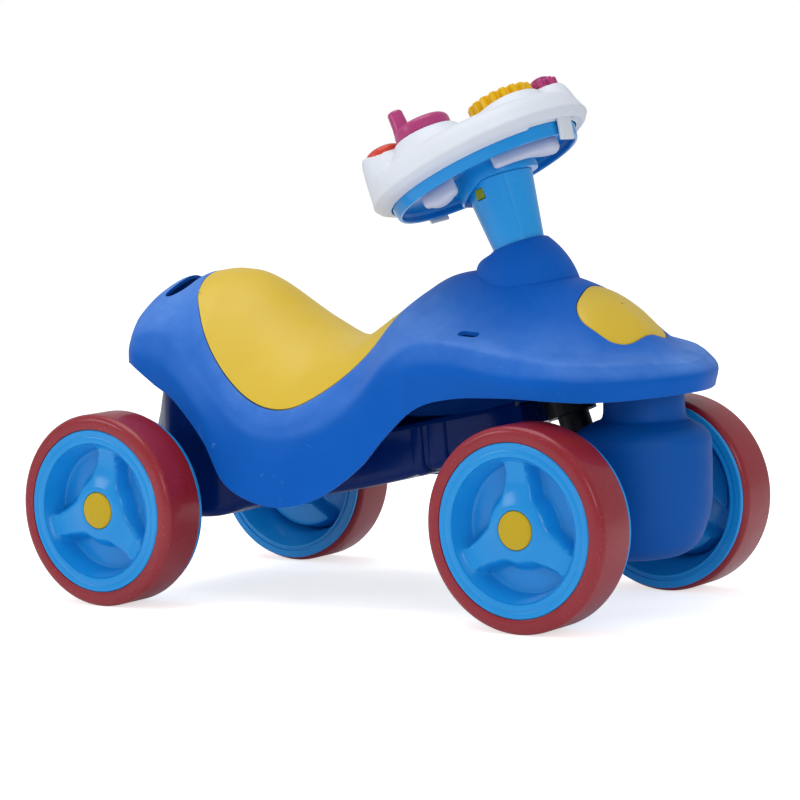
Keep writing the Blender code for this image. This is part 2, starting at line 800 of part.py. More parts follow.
def make_tyre(name, place):
    shoulder = TYRE_SHOULDER
    inner_side = RIM_FLANGE_WIDTH - WHEEL_WIDTH + FIT_GAP
    outline = (
        (RIM_FACE_RADIUS + FIT_GAP, 0.0),
        (WHEEL_RADIUS - shoulder, 0.0),
        (WHEEL_RADIUS - shoulder * 0.3, -shoulder * 0.3),
        (WHEEL_RADIUS, -shoulder),
        (WHEEL_RADIUS, inner_side + shoulder),
        (WHEEL_RADIUS - shoulder * 0.3, inner_side + shoulder * 0.3),
        (WHEEL_RADIUS - shoulder, inner_side),
        (RIM_BARREL_RADIUS + FIT_GAP, inner_side),
        (RIM_BARREL_RADIUS + FIT_GAP, -0.0037),
        (RIM_FACE_RADIUS + FIT_GAP, -0.0027),
    )
    return turned(name, outline, place, TYRE_RED, steps=WHEEL_STEPS)


def make_cap(name, place):
    base = -HUB_FACE_DEPTH - CAP_THICKNESS
    outline = (
        (0.0, -HUB_FACE_DEPTH + 0.0018),
        (CAP_RADIUS * 0.6, -HUB_FACE_DEPTH + 0.0014),
        (CAP_RADIUS - 0.001, -HUB_FACE_DEPTH + 0.0004),
        (CAP_RADIUS, -HUB_FACE_DEPTH - 0.0004),
        (CAP_RADIUS, base),
        (0.0, base),
    )
    return turned(name, outline, place, CAP_YELLOW, closed=False, steps=WHEEL_STEPS)


def make_lock(name, place):
    top = -HUB_FACE_DEPTH - CAP_THICKNESS - CAP_GAP
    bore = AXLE_RADIUS + FIT_GAP
    outline = (
        (bore, top),
        (LOCK_RADIUS, top),
        (LOCK_RADIUS, top - LOCK_THICKNESS),
        (bore, top - LOCK_THICKNESS),
    )
    return turned(name, outline, place, STEEL, steps=12)


def make_wheel(name, x, outer_y, inner_stop):
    """A wheel whose hub sleeve runs up to the inner stop beside the chassis."""
    place = wheel_place(x, outer_y)
    sleeve = abs(outer_y) - inner_stop - FIT_GAP
    make_rim(name + "_rim", place, sleeve)
    make_tyre(name + "_tyre", place)
    make_cap(name + "_hub_cap", place)
    make_lock(name + "_axle_lock", place)


def axle_half_length(outer_y):
    return outer_y - HUB_FACE_DEPTH - CAP_THICKNESS - CAP_GAP


# Steering head


FAIRING_SLICES = (
    (46, 236, 26, 26),
    (50, 236, 42, 36),
    (62, 236, 56, 46),
    (88, 236, 66, 53),
    (112, 236.5, 67, 54.5),
    (134, 240, 63.5, 54.5),
    (146, 243, 60, 53),
    (154, 245, 53, 47),
    (160, 246, 42, 39),
    (165, 247, 35, 34),
    (184, 247, 34, 33),
)


def make_fairing():
    """A bucket round the steering fork: slices as (height, middle x, half length, half width)."""
    sides = 20
    grid = []
    for z, x, half_length, half_width in FAIRING_SLICES:
        row = []
        for i in range(sides):
            angle = 2.0 * math.pi * i / sides
            row.append(mm(x + half_length * math.cos(angle), half_width * math.sin(angle), z))
        grid.append(row)
    bm = loft(grid, "fairing", ring=True)
    bm.verts.ensure_lookup_table()
    bm.faces.new([bm.verts[i] for i in range(sides)])
    bm.faces.new([bm.verts[(len(grid) - 1) * sides + i] for i in range(sides)])
    outward(bm)
    item = show(mesh_of(bm, "front_fairing"), "front_fairing", BODY_BLUE)
    inner_bm = loft([shrunk_slice(row) for row in grid], "fairing_hollow", ring=True)
    inner_bm.verts.ensure_lookup_table()
    inner_bm.faces.new([inner_bm.verts[i] for i in range(sides)])
    inner_bm.faces.new([inner_bm.verts[(len(grid) - 1) * sides + i] for i in range(sides)])
    outward(inner_bm)
    hollow = show(mesh_of(inner_bm, "fairing_hollow"), "fairing_hollow", cutter=True)
    cut(item, hollow)
    tube_hole = TUBE_RADIUS + FIT_GAP
    cut(item, rod("tube_hole", tube_hole, along_steer(0.02), along_steer(0.13), cutter=True, sides=28))
    cut(item, rod("drain", 0.014, mm(236, 0, 40), mm(236, 0, 56), cutter=True, sides=16))
    hole = AXLE_RADIUS + AXLE_BORE_CLEARANCE
    reach = Vector((0.0, 0.08, 0.0))
    cut(item, rod("axle_hole", hole, FRONT_AXLE - reach, FRONT_AXLE + reach, cutter=True, sides=16))
    return item


def fairing_half_width(z):
    return read_between(FAIRING_SLICES, z, 3)


def shrunk_slice(row):
    """A slice of the fairing moved in by its wall, and its ends moved up or down by it."""
    low, high = mm(FAIRING_SLICES[0][0]), mm(FAIRING_SLICES[-1][0])
    centre = sum(row, Vector()) / len(row)
    z = min(max(row[0].z, low + FAIRING_WALL), high - FAIRING_WALL)
    made = []
    for point in row:
        away = Vector((point.x - centre.x, point.y - centre.y, 0.0))
        moved = centre + away * (1.0 - FAIRING_WALL / away.length)
        made.append(Vector((moved.x, moved.y, z)))
    return made


def make_tube():
    inner = TUBE_RADIUS - TUBE_WALL
    outline = ((inner, TUBE_TOP), (TUBE_RADIUS, TUBE_TOP), (TUBE_RADIUS, TUBE_LOW), (inner, TUBE_LOW))
    tube = turned("steering_tube", outline, STEER_PLACE, FRAME_BLACK, steps=28)
    reach = Vector((0.0, 0.08, 0.0))
    hole = AXLE_RADIUS + AXLE_BORE_CLEARANCE
    cut(tube, rod("tube_axle_hole", hole, FRONT_AXLE - reach, FRONT_AXLE + reach, cutter=True, sides=16))
    return tube


def make_bearing():
    """A collar round the steering tube, with a tongue that lies on the tray's front end."""
    end_x, _, _, rim = TRAY_STATIONS[-1]
    tongue_low = mm(rim) + TRAY_WALL + SEAT_GAP
    tongue_size = Vector((0.052, 0.030, 0.009))
    centre = Vector((mm(end_x) + 0.006, 0.0, tongue_low + tongue_size.z / 2))
    low = (tongue_low - FRONT_AXLE.z) / STEER_AXIS.z - BEARING_DROP
    ends = (along_steer(low), along_steer(low + BEARING_HEIGHT))
    collar = rod("steering_bearing", BEARING_RADIUS, *ends, FRAME_BLACK, sides=28)
    join(collar, box("tongue", tongue_size, centre))
    bore = TUBE_RADIUS + TURRET_CLEARANCE * 0.5
    cut(collar, rod("bearing_bore", bore, along_steer(0.05), along_steer(0.14), cutter=True, sides=28))
    collar.data.materials.clear()
    collar.data.materials.append(FRAME_BLACK)
    return collar


def make_column():
    bore = TUBE_RADIUS + FIT_GAP
    outline = (
        (bore, COLUMN_TOP),
        (COLUMN_TOP_RADIUS, COLUMN_TOP),
        (COLUMN_LOW_RADIUS, COLUMN_LOW),
        (bore, COLUMN_LOW),
    )
    return turned("column_cover", outline, STEER_PLACE, SKY_BLUE, steps=32)


# Steering wheel console, modelled flat round its own middle and then set on its tilted place


def console_point(forward, left, height):
    return CONSOLE_PLACE @ mm(forward, left, height)


def make_wheel_base():
    top = SHELL_LOW - FIT_GAP
    outline = (
        (0.0, top),
        (DISH_TOP_RADIUS, top),
        (DISH_LOW_RADIUS, DISH_LOW),
        (DISH_LOW_RADIUS - DISH_WALL, DISH_LOW),
        (DISH_TOP_RADIUS - DISH_WALL, top - DISH_WALL),
        (0.0, top - DISH_WALL),
    )
    base = turned("wheel_base", outline, CONSOLE_PLACE, SKY_BLUE, closed=False, steps=CONSOLE_STEPS)
    cup_low = COLUMN_TOP + FIT_GAP
    cup_high = along_steer(cup_low + HUB_CUP_RADIUS)
    cup = rod("hub_cup", HUB_CUP_RADIUS, along_steer(cup_low), cup_high, sides=32)
    trim_size = Vector((0.2, 0.2, 0.1))
    trim_centre = Vector((0.0, 0.0, top - (DISH_WALL - trim_size.z) / 2))
    trim = box("cup_trim", trim_size, trim_centre, cutter=True)
    trim.data.transform(CONSOLE_PLACE)
    cut(cup, trim)
    join(base, cup)
    base.data.materials.clear()
    base.data.materials.append(SKY_BLUE)
    return base


GRIPS = (((32, -41), (67, 6)), ((-31, -60), (-3, -52)))
CRANK_PLACE = (-13.5, -43, 29.7)
BIG_GEAR_PLACE = (33, 15.5, 31.8)
SMALL_GEAR_ANGLE = math.radians(51.7)
BUTTON_PLACE = (-57, -46, 31)
SWITCH_SIZE = (12, 12, 6)


def gear_radius(teeth):
    return teeth * GEAR_PITCH / (2.0 * math.pi)


def small_gear_place():
    reach = (gear_radius(BIG_GEAR_TEETH) + gear_radius(SMALL_GEAR_TEETH)) * 1000.0
    forward, left, height = BIG_GEAR_PLACE
    return (
        forward + reach * math.cos(SMALL_GEAR_ANGLE),
        left + reach * math.sin(SMALL_GEAR_ANGLE),
        height,
    )


def make_wheel_shell():
    outline = (
        (0.0, DECK_HEIGHT),
        (0.0860, DECK_HEIGHT),
        (0.0925, 0.0215),
        (0.0975, 0.0100),
        (CONSOLE_RADIUS, 0.0),
        (0.0975, -0.0045),
        (DISH_TOP_RADIUS + 0.0010, SHELL_LOW),
        (DISH_TOP_RADIUS - 0.0015, SHELL_LOW),
        (0.0955, -0.0020),
        (0.0970, 0.0005),
        (0.0950, 0.0095),
        (0.0905, 0.0195),
        (0.0850, DECK_HEIGHT - CONSOLE_WALL),
        (0.0, DECK_HEIGHT - CONSOLE_WALL),
    )
    shell = turned("wheel_shell", outline, Matrix.Identity(4), SHELL_WHITE, closed=False, steps=CONSOLE_STEPS)
    low = DECK_HEIGHT - CONSOLE_WALL * 0.6
    bosses = (
        (CRANK_PLACE, KNOB_RADIUS + 0.0042, KNOB_RADIUS + 0.0012),
        (BIG_GEAR_PLACE, 0.0330, 0.0302),
        (small_gear_place(), 0.0160, 0.0150),
        (BUTTON_PLACE, BUTTON_RADIUS + 0.0045, BUTTON_RADIUS + 0.0016),
    )
    for (forward, left, height), foot_radius, top_radius in bosses:
        foot = Vector((mm(forward), mm(left), low))
        top = Vector((mm(forward), mm(left), mm(height)))
        join(shell, rod("boss", foot_radius, foot, top, sides=20, end_radius=top_radius))
    forward, left, _ = BUTTON_PLACE
    well = BUTTON_RADIUS + BUTTON_GAP
    cut(shell, rod("button_well", well, mm(forward, left, 10), mm(forward, left, 60), cutter=True, sides=28))
    for forward, left, _ in (CRANK_PLACE, BIG_GEAR_PLACE, small_gear_place()):
        hole = GEAR_PIN_RADIUS + FIT_GAP
        cut(shell, rod("pin_hole", hole, mm(forward, left, 10), mm(forward, left, 60), cutter=True, sides=16))
    shell.data.materials.clear()
    shell.data.materials.append(SHELL_WHITE)
    shell.data.transform(CONSOLE_PLACE)
    return shell


def make_pin(name, place, head_base, material):
    """A headed pin through a turning piece, down through the deck to the base plate."""
    forward, left, _ = place
    base = SHELL_LOW
    outline = (
        (0.0, head_base + 0.0030),
        (GEAR_PIN_HEAD * 0.7, head_base + 0.0030),
        (GEAR_PIN_HEAD, head_base + 0.0018),
        (GEAR_PIN_HEAD, head_base),
        (GEAR_PIN_RADIUS, head_base),
        (GEAR_PIN_RADIUS, base),
        (0.0, base),
    )
    at = CONSOLE_PLACE @ Matrix.Translation(mm(forward, left, 0))
    return turned(name, outline, at, material, closed=False, steps=16)


def make_gear(name, place, teeth, phase, material):
    """A gear with round teeth, bored for its pin, from an outline turned into a thick plate."""
    forward, left, height = place
    radius = gear_radius(teeth)
    tip = radius + TOOTH_HEIGHT / 2 - GEAR_BACKLASH / 2
    root = radius - TOOTH_HEIGHT / 2 - GEAR_BACKLASH / 2
    spread = ((-0.5, root), (-0.27, root), (-0.13, tip), (0.13, tip), (0.27, root))
    bm = bmesh.new()
    ring = []
    for i in range(teeth):
        for share, far in spread:
            angle = phase + 2.0 * math.pi * (i + share) / teeth
            ring.append(bm.verts.new((far * math.cos(angle), far * math.sin(angle), 0.0)))
    face = bm.faces.new(ring)
    raised = bmesh.ops.extrude_face_region(bm, geom=[face])
    moved = [v for v in raised["geom"] if isinstance(v, bmesh.types.BMVert)]
    bmesh.ops.translate(bm, vec=(0.0, 0.0, GEAR_THICKNESS), verts=moved)
    outward(bm)
    gear = show(mesh_of(bm, name), name, material)
    bore = GEAR_PIN_RADIUS + FIT_GAP
    cut(gear, rod("gear_bore", bore, (0, 0, -0.01), (0, 0, 0.03), cutter=True, sides=16))
    gear.data.transform(CONSOLE_PLACE @ Matrix.Translation(mm(forward, left, height + FIT_GAP * 1000.0)))
    return gear


def make_knob():
    """The crank disc with its round handle peg."""
    forward, left, height = CRANK_PLACE
    outline = (
        (GEAR_PIN_RADIUS + FIT_GAP, KNOB_THICKNESS),
        (KNOB_RADIUS - 0.005, KNOB_THICKNESS),
        (KNOB_RADIUS - 0.0015, KNOB_THICKNESS - 0.0025),
        (KNOB_RADIUS, KNOB_THICKNESS - 0.006),
        (KNOB_RADIUS, 0.0015),
        (KNOB_RADIUS - 0.001, 0.0),
        (GEAR_PIN_RADIUS + FIT_GAP, 0.0),
    )
    knob = turned("crank_knob", outline, Matrix.Identity(4), MAGENTA, steps=28)
    turn = Matrix.Rotation(PEG_ANGLE, 4, "Z")
    foot = turn @ Vector((PEG_OFFSET, 0.0, KNOB_THICKNESS - 0.002))
    top = foot + Vector((0.0, 0.0, PEG_HEIGHT + 0.002))
    join(knob, rod("peg", PEG_RADIUS * 1.15, foot, top, sides=20, end_radius=PEG_RADIUS))
    knob.data.materials.clear()
    knob.data.materials.append(MAGENTA)
    knob.data.transform(CONSOLE_PLACE @ Matrix.Translation(mm(forward, left, height + FIT_GAP * 1000.0)))
    return knob


def make_button():
    """The horn button: a domed cap with a stem over the switch."""
    forward, left, height = BUTTON_PLACE
    top = mm(height) + 0.0075
    outline = (
        (0.0, top),
        (BUTTON_RADIUS * 0.5, top - 0.0006),
        (BUTTON_RADIUS * 0.85, top - 0.0022),
        (BUTTON_RADIUS, top - 0.0045),
        (BUTTON_RADIUS, mm(height) - 0.0060),
        (0.0060, mm(height) - 0.0060),
        (0.0060, switch_top() + BUTTON_TRAVEL + FIT_GAP),
        (0.0, switch_top() + BUTTON_TRAVEL + FIT_GAP),
    )
    at = CONSOLE_PLACE @ Matrix.Translation(mm(forward, left, 0))
    return turned("horn_button", outline, at, HORN_RED, closed=False, steps=28)


def switch_top():
    return SHELL_LOW + mm(SWITCH_SIZE[2])


def make_switch():
    forward, left, _ = BUTTON_PLACE
    centre = mm(forward, left, 0) + Vector((0.0, 0.0, SHELL_LOW + mm(SWITCH_SIZE[2]) / 2))
    item = box("horn_switch", mm(*SWITCH_SIZE), centre, FRAME_BLACK)
    item.data.transform(CONSOLE_PLACE)
    return item


def make_grips():
    height = (SHELL_LOW - FIT_GAP - DISH_WALL - FIT_GAP - GRIP_RADIUS) * 1000.0
    for name, (start, end) in zip(("grip_bar_front", "grip_bar_rear"), GRIPS):
        ends = [console_point(*place, height) for place in (start, end)]
        rod(name, GRIP_RADIUS, *ends, SHELL_WHITE, sides=14)


LOCK_TAB_PLACE = 0.281


def make_lock_tab(column):
    """A small square catch in a window of the column cover, on the rider's right."""
    centre = along_steer(LOCK_TAB_PLACE) + Vector((-0.004, -0.0255, 0.0))
    turn = Matrix.Rotation(-STEER_TILT, 4, "Y") @ Matrix.Rotation(math.radians(-7.6), 4, "X")
    window = box("tab_window", mm(9.0, 8.0, 9.0), centre, cutter=True, turn=turn)
    cut(column, window)
    return box("lock_tab", mm(8.4, 6.6, 8.4), centre + Vector((0.0, 0.0003, 0.0)), TAB_GREEN, turn=turn)


# Build every piece

body = make_body()
seat = make_seat()
lamp = make_lamp()
tray = make_tray()
make_posts(tray, body)
axle_reach = Vector((0.0, axle_half_length(REAR_TRACK / 2), 0.0))
rear_hole = AXLE_RADIUS + AXLE_BORE_CLEARANCE
axle_ends = (REAR_AXLE - axle_reach, REAR_AXLE + axle_reach)
cut(tray, rod("rear_axle_hole", rear_hole, *axle_ends, cutter=True, sides=16))
tray.data.materials.clear()
tray.data.materials.append(CHASSIS_NAVY)
names = ("rear", "middle", "front")
for (x, y), where in zip(POSTS, names):
    make_screw("chassis_screw_" + where + "_right", mm(x), -mm(y))
    make_screw("chassis_screw_" + where + "_left", mm(x), mm(y))
rod("rear_axle", AXLE_RADIUS, *axle_ends, STEEL, sides=16)
front_reach = Vector((0.0, axle_half_length(FRONT_TRACK / 2), 0.0))
rod("front_axle", AXLE_RADIUS, FRONT_AXLE - front_reach, FRONT_AXLE + front_reach, STEEL, sides=16)
WHEEL_STOP_GAP = 0.0005
make_wheel("rear_right", REAR_AXLE_X, -REAR_TRACK / 2, tray_half_width(REAR_AXLE_X) + WHEEL_STOP_GAP)
make_wheel("rear_left", REAR_AXLE_X, REAR_TRACK / 2, tray_half_width(REAR_AXLE_X) + WHEEL_STOP_GAP)
make_wheel("front_right", FRONT_AXLE_X, -FRONT_TRACK / 2, fairing_half_width(WHEEL_RADIUS) + WHEEL_STOP_GAP)
make_wheel("front_left", FRONT_AXLE_X, FRONT_TRACK / 2, fairing_half_width(WHEEL_RADIUS) + WHEEL_STOP_GAP)
make_fairing()
make_tube()
make_bearing()
column = make_column()
make_lock_tab(column)
make_wheel_base()
make_grips()
make_wheel_shell()
crank = make_knob()
big_phase = SMALL_GEAR_ANGLE
make_gear("big_gear", BIG_GEAR_PLACE, BIG_GEAR_TEETH, big_phase, GEAR_YELLOW)
small_phase = SMALL_GEAR_ANGLE + math.pi + math.pi / SMALL_GEAR_TEETH
make_gear("small_gear", small_gear_place(), SMALL_GEAR_TEETH, small_phase, MAGENTA)
knob_top = mm(CRANK_PLACE[2]) + FIT_GAP + KNOB_THICKNESS + FIT_GAP
gear_top = mm(BIG_GEAR_PLACE[2]) + FIT_GAP + GEAR_THICKNESS + FIT_GAP
make_pin("crank_pin", CRANK_PLACE, knob_top, MAGENTA)
make_pin("big_gear_pin", BIG_GEAR_PLACE, gear_top, GEAR_YELLOW)
make_pin("small_gear_pin", small_gear_place(), gear_top, MAGENTA)
make_button()
make_switch()

# Each turning or sliding piece has its origin on its own axis


def set_origin(name, place):
    """Move a piece's origin and leave the piece where it is."""
    item = CAR.objects[name]
    item.data.transform(Matrix.Translation(-place))
    item.location = place


STEERED = (
    "front_fairing",
    "steering_tube",
    "column_cover",
    "lock_tab",
    "front_axle",
    "wheel_base",
    "wheel_shell",
    "grip_bar_front",
    "grip_bar_rear",
    "crank_pin",
    "big_gear_pin",
    "small_gear_pin",
    "horn_switch",
    "front_right_axle_lock",
    "front_left_axle_lock",
)
for name in STEERED:
    set_origin(name, FRONT_AXLE)
for where, axle, track in (("rear", REAR_AXLE, REAR_TRACK), ("front", FRONT_AXLE, FRONT_TRACK)):
    for side, sign in (("right", -1), ("left", 1)):
        hub = axle + Vector((0.0, sign * track / 2, 0.0))
        for piece in ("rim", "tyre", "hub_cap"):
            set_origin("_".join((where, side, piece)), hub)
set_origin("crank_knob", console_point(*CRANK_PLACE))
set_origin("big_gear", console_point(*BIG_GEAR_PLACE))
set_origin("small_gear", console_point(*small_gear_place()))
set_origin("horn_button", console_point(*BUTTON_PLACE))
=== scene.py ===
import math

import bmesh
import bpy
from mathutils import Matrix, Vector
from mathutils.bvhtree import BVHTree


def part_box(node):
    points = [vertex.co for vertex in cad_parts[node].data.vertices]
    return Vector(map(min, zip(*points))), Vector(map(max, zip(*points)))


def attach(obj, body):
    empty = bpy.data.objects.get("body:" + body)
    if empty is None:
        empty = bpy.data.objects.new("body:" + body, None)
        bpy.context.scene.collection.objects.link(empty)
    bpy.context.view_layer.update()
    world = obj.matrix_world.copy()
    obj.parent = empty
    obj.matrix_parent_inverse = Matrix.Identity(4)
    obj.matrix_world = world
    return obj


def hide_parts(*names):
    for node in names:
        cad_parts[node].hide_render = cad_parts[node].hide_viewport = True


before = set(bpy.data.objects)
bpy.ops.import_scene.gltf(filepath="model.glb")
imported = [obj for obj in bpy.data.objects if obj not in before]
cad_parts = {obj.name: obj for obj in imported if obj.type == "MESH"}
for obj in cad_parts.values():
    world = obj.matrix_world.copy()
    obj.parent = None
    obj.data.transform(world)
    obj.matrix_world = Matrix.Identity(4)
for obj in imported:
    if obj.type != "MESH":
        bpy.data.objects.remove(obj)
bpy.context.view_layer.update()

# Units are metres: +X is forward, +Y the rider's left, +Z up, and the floor is at Z = 0.
# Tables of sections are in millimetres.


# Saddle body: one thin moulded shell, open below, that screws down onto the chassis. It carries a
# recess for the seat pad, a pocket for the lamp, a slot behind the seat to lift the car by and two
# small slots in the hood.


def linear(code):
    """The linear colour of an sRGB code such as '1C62CC'."""
    parts = [int(code[i : i + 2], 16) / 255.0 for i in (0, 2, 4)]
    values = [p / 12.92 if p <= 0.04045 else ((p + 0.055) / 1.055) ** 2.4 for p in parts]
    return (*values, 1.0)


def add(tree, kind, links=(), **values):
    """Add a node, set its properties and sockets, and link the sockets that are named."""
    node = tree.nodes.new(kind)
    for key, value in values.items():
        name = key.replace("_", " ")
        if name in node.inputs:
            node.inputs[name].default_value = value
        else:
            setattr(node, key, value)
    for socket, source in links:
        tree.links.new(source, node.inputs[socket])
    return node


def ramp(tree, source, low, high, start=0.0, end=1.0):
    """Values from start to end while the source goes from low to high."""
    node = add(tree, "ShaderNodeMapRange", [("Value", source)])
    node.inputs["From Min"].default_value = low
    node.inputs["From Max"].default_value = high
    node.inputs["To Min"].default_value = start
    node.inputs["To Max"].default_value = end
    return node.outputs["Result"]


def blend_colour(tree, share, first, second):
    """A mix of two colours, each a colour or a socket, by a share that is a socket."""
    node = tree.nodes.new("ShaderNodeMix")
    node.data_type = "RGBA"
    tree.links.new(share, node.inputs["Factor"])
    for socket, value in (("A", first), ("B", second)):
        target = [s for s in node.inputs if s.name == socket and s.type == "RGBA"][0]
        if isinstance(value, tuple):
            target.default_value = value
        else:
            tree.links.new(value, target)
    return [s for s in node.outputs if s.type == "RGBA"][0]


def noise(tree, place, scale, detail=2.0, roughness=0.5, stretch=None):
    source = place
    if stretch:
        mapping = add(tree, "ShaderNodeMapping", [("Vector", place)])
        mapping.inputs["Scale"].default_value = stretch
        mapping.inputs["Rotation"].default_value = (0.2, 0.5, 0.7)
        source = mapping.outputs["Vector"]
    node = add(tree, "ShaderNodeTexNoise", [("Vector", source)], Scale=scale, Detail=detail)
    node.inputs["Roughness"].default_value = roughness
    return node.outputs["Fac"]


def both(tree, first, second):
    """Two shares multiplied."""
    node = add(tree, "ShaderNodeMath", operation="MULTIPLY")
    tree.links.new(first, node.inputs[0])
    tree.links.new(second, node.inputs[1])
    return node.outputs[0]


def new_material(name):
    """A material, its node tree, its shader, and the socket of each texture coordinate."""
    made = bpy.data.materials.new(name)
    made.use_nodes = True
    tree = made.node_tree
    return made, tree, tree.nodes["Principled BSDF"], add(tree, "ShaderNodeTexCoord").outputs


# Noise scales count patches to the metre. Clouds are 110 mm across, rough patches 30 mm, patches of
# dust and painted top light 40 mm, and hair scratches 0.7 mm by 22 mm. The tyre's bloom of 1.1 mm and
# the moulded grain of 0.7 mm are coarser than the real ones, so that they show.
def plastic(
    name,
    base,
    pale,
    roughness,
    grain=0.10,
    haze=0.25,
    scratches=0.0,
    coat=0.0,
    speckle=0.0,
    dust_and_top_light=0.0,
    dust_and_light_tint="F0E6B4",
    painted_shade_middle=None,
    gloss=0.25,
):
    """Moulded plastic: a cloudy colour, a fine grain, hair scratches, and a pale tint on what faces up,
    which is dust and painted top light, held back round a given point that is left in painted shade."""
    made, tree, shader, where = new_material(name)
    place = where["Object"]
    clouds = ramp(tree, noise(tree, place, 9.0, 4.0, 0.6), 0.35, 0.72, 0.0, haze)
    colour = blend_colour(tree, clouds, linear(base), linear(pale))
    rough = ramp(tree, noise(tree, place, 34.0, 3.0), 0.3, 0.7, roughness - 0.04, roughness + 0.05)
    # What faces up is paled in patches, as dust and painted top light. Round the given point the paling is
    # held back, as painted shade.
    if dust_and_top_light:
        facing = add(tree, "ShaderNodeSeparateXYZ", [("Vector", where["Normal"])]).outputs["Z"]
        dust_and_light_share = ramp(tree, facing, 0.12, 0.90, 0.0, dust_and_top_light)
        patches = ramp(tree, noise(tree, place, 26.0, 5.0, 0.65), 0.25, 0.70, 0.35, 1.0)
        if painted_shade_middle:
            apart = add(tree, "ShaderNodeVectorMath", [(0, place)], operation="DISTANCE")
            apart.inputs[1].default_value = painted_shade_middle
            patches = both(tree, patches, ramp(tree, apart.outputs["Value"], 0.060, 0.120, 0.08, 1.0))
        colour = blend_colour(tree, both(tree, dust_and_light_share, patches), colour, linear(dust_and_light_tint))
    if scratches:
        hairs = noise(tree, place, 46.0, 2.0, 0.7, stretch=(1.0, 30.0, 1.0))
        lines = ramp(tree, hairs, 0.67, 0.70, 0.0, scratches)
        patches = ramp(tree, noise(tree, place, 14.0, 2.0), 0.50, 0.62)
        colour = blend_colour(tree, both(tree, lines, patches), colour, linear("A9C0EA"))
    if speckle:
        dots = ramp(tree, noise(tree, place, 900.0, 1.0), 0.68, 0.74, 0.0, speckle)
        colour = blend_colour(tree, dots, colour, linear("D98B8B"))
    tree.links.new(colour, shader.inputs["Base Color"])
    tree.links.new(rough, shader.inputs["Roughness"])
    fine = noise(tree, place, 1400.0, 2.0)
    wave = noise(tree, place, 22.0, 1.0)
    first = add(tree, "ShaderNodeBump", [("Height", fine)], Strength=grain, Distance=0.0002)
    second = add(tree, "ShaderNodeBump", [("Height", wave)], Strength=0.10, Distance=0.0010)
    tree.links.new(first.outputs["Normal"], second.inputs["Normal"])
    tree.links.new(second.outputs["Normal"], shader.inputs["Normal"])
    shader.inputs["Specular IOR Level"].default_value = gloss
    shader.inputs["Coat Weight"].default_value = coat
    shader.inputs["Coat Roughness"].default_value = 0.06
    return made


def mm(*values):
    scaled = [value / 1000.0 for value in values]
    return scaled[0] if len(scaled) == 1 else Vector(scaled)


def sheet(rows, ring=False):
    """A surface through a table of points. A ring's last column meets its first."""
    across = len(rows[0]) if ring else len(rows[0]) - 1
    along = len(rows) - 1
    bm = bmesh.new()
    bmesh.ops.create_grid(bm, x_segments=across, y_segments=along, size=0.5)
    column_of = bm.verts.layers.int.new("column")
    row_of = bm.verts.layers.int.new("row")
    for vert in bm.verts:
        column = round((vert.co.x + 0.5) * across)
        row = round((vert.co.y + 0.5) * along)
        vert[column_of] = column
        vert[row_of] = row
        vert.co = rows[row][column % len(rows[0])]
    bmesh.ops.remove_doubles(bm, verts=bm.verts[:], dist=0.000001)
    bmesh.ops.recalc_face_normals(bm, faces=bm.faces[:])
    return bm


def link(name, data):
    item = bpy.data.objects.new(name, data)
    bpy.context.scene.collection.objects.link(item)
    return item


def mesh_object(name, bm):
    mesh = bpy.data.meshes.new(name)
    bm.to_mesh(mesh)
    bm.free()
    return link(name, mesh)


def soften(item, angle=40.0):
    """Shade smooth, with edges sharp from an angle in degrees."""
    item.data.shade_smooth()
    item.data.set_sharp_from_angle(angle=math.radians(angle))


def show(bm, name, material, body, slot=None, replaced=(), angle=40.0):
    """Make the object of a mesh, give it its material and let it ride on its body."""
    item = mesh_object(name, bm)
    soften(item, angle)
    item.data.materials.append(material)
    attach(item, body)
    if replaced:
        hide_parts(*replaced)
    return item


def cut(item, bm):
    """Cut a closed mesh out of a piece."""
    cutter = mesh_object("cutter", bm)
    step = item.modifiers.new("cut", "BOOLEAN")
    step.object = cutter
    step.operation = "DIFFERENCE"
    step.solver = "EXACT"
    graph = bpy.context.evaluated_depsgraph_get()
    graph.update()
    made = bpy.data.meshes.new_from_object(item.evaluated_get(graph))
    item.modifiers.clear()
    item.data = made
    bpy.data.objects.remove(cutter)


def prism(ring, low, high):
    """A closed upright prism on a ring of flat points."""
    bm = bmesh.new()
    face = bm.faces.new([bm.verts.new((x, y, low)) for x, y in ring])
    raised = bmesh.ops.extrude_face_region(bm, geom=[face])
    moved = [v for v in raised["geom"] if isinstance(v, bmesh.types.BMVert)]
    bmesh.ops.translate(bm, vec=(0.0, 0.0, high - low), verts=moved)
    bmesh.ops.recalc_face_normals(bm, faces=bm.faces[:])
    return bm


def smooth_step(low, high, value):
    share = min(1.0, max(0.0, (value - low) / (high - low)))
    return share * share * (3.0 - 2.0 * share)


def spline(before, first, second, after, share):
    """The point at a share of the way from first to second, on a smooth curve through all four."""
    square, cube = share * share, share * share * share
    return 0.5 * (
        2.0 * first
        + (second - before) * share
        + (2.0 * before - 5.0 * first + 4.0 * second - after) * square
        + (3.0 * first - before - 3.0 * second + after) * cube
    )


def finer(points, count, start=None, end=None):
    """A line of points made finer. The start and the end are the points that come before and after."""
    before = 2.0 * points[0] - points[1] if start is None else start
    after = 2.0 * points[-1] - points[-2] if end is None else end
    chain = [before, *points, after]
    made = []
    for i in range(len(points) - 1):
        for k in range(count):
            made.append(spline(chain[i], chain[i + 1], chain[i + 2], chain[i + 3], k / count))
    made.append(points[-1])
    return made


# Blow-moulded polyethylene with a satin skin: a deep blue that hair scratches pale, and that painted
# top light pales in patches on what faces up. The hood's middle stays the deepest, as painted shade.
BODY_BLUE = plastic(
    "body_blue_satin",
    "005ABA",
    "0A66CA",
    0.48,
    0.16,
    0.45,
    scratches=0.12,
    dust_and_top_light=0.66,
    dust_and_light_tint="6E9FEA",
    painted_shade_middle=(0.185, 0.0, 0.270),
    gloss=0.10,
)
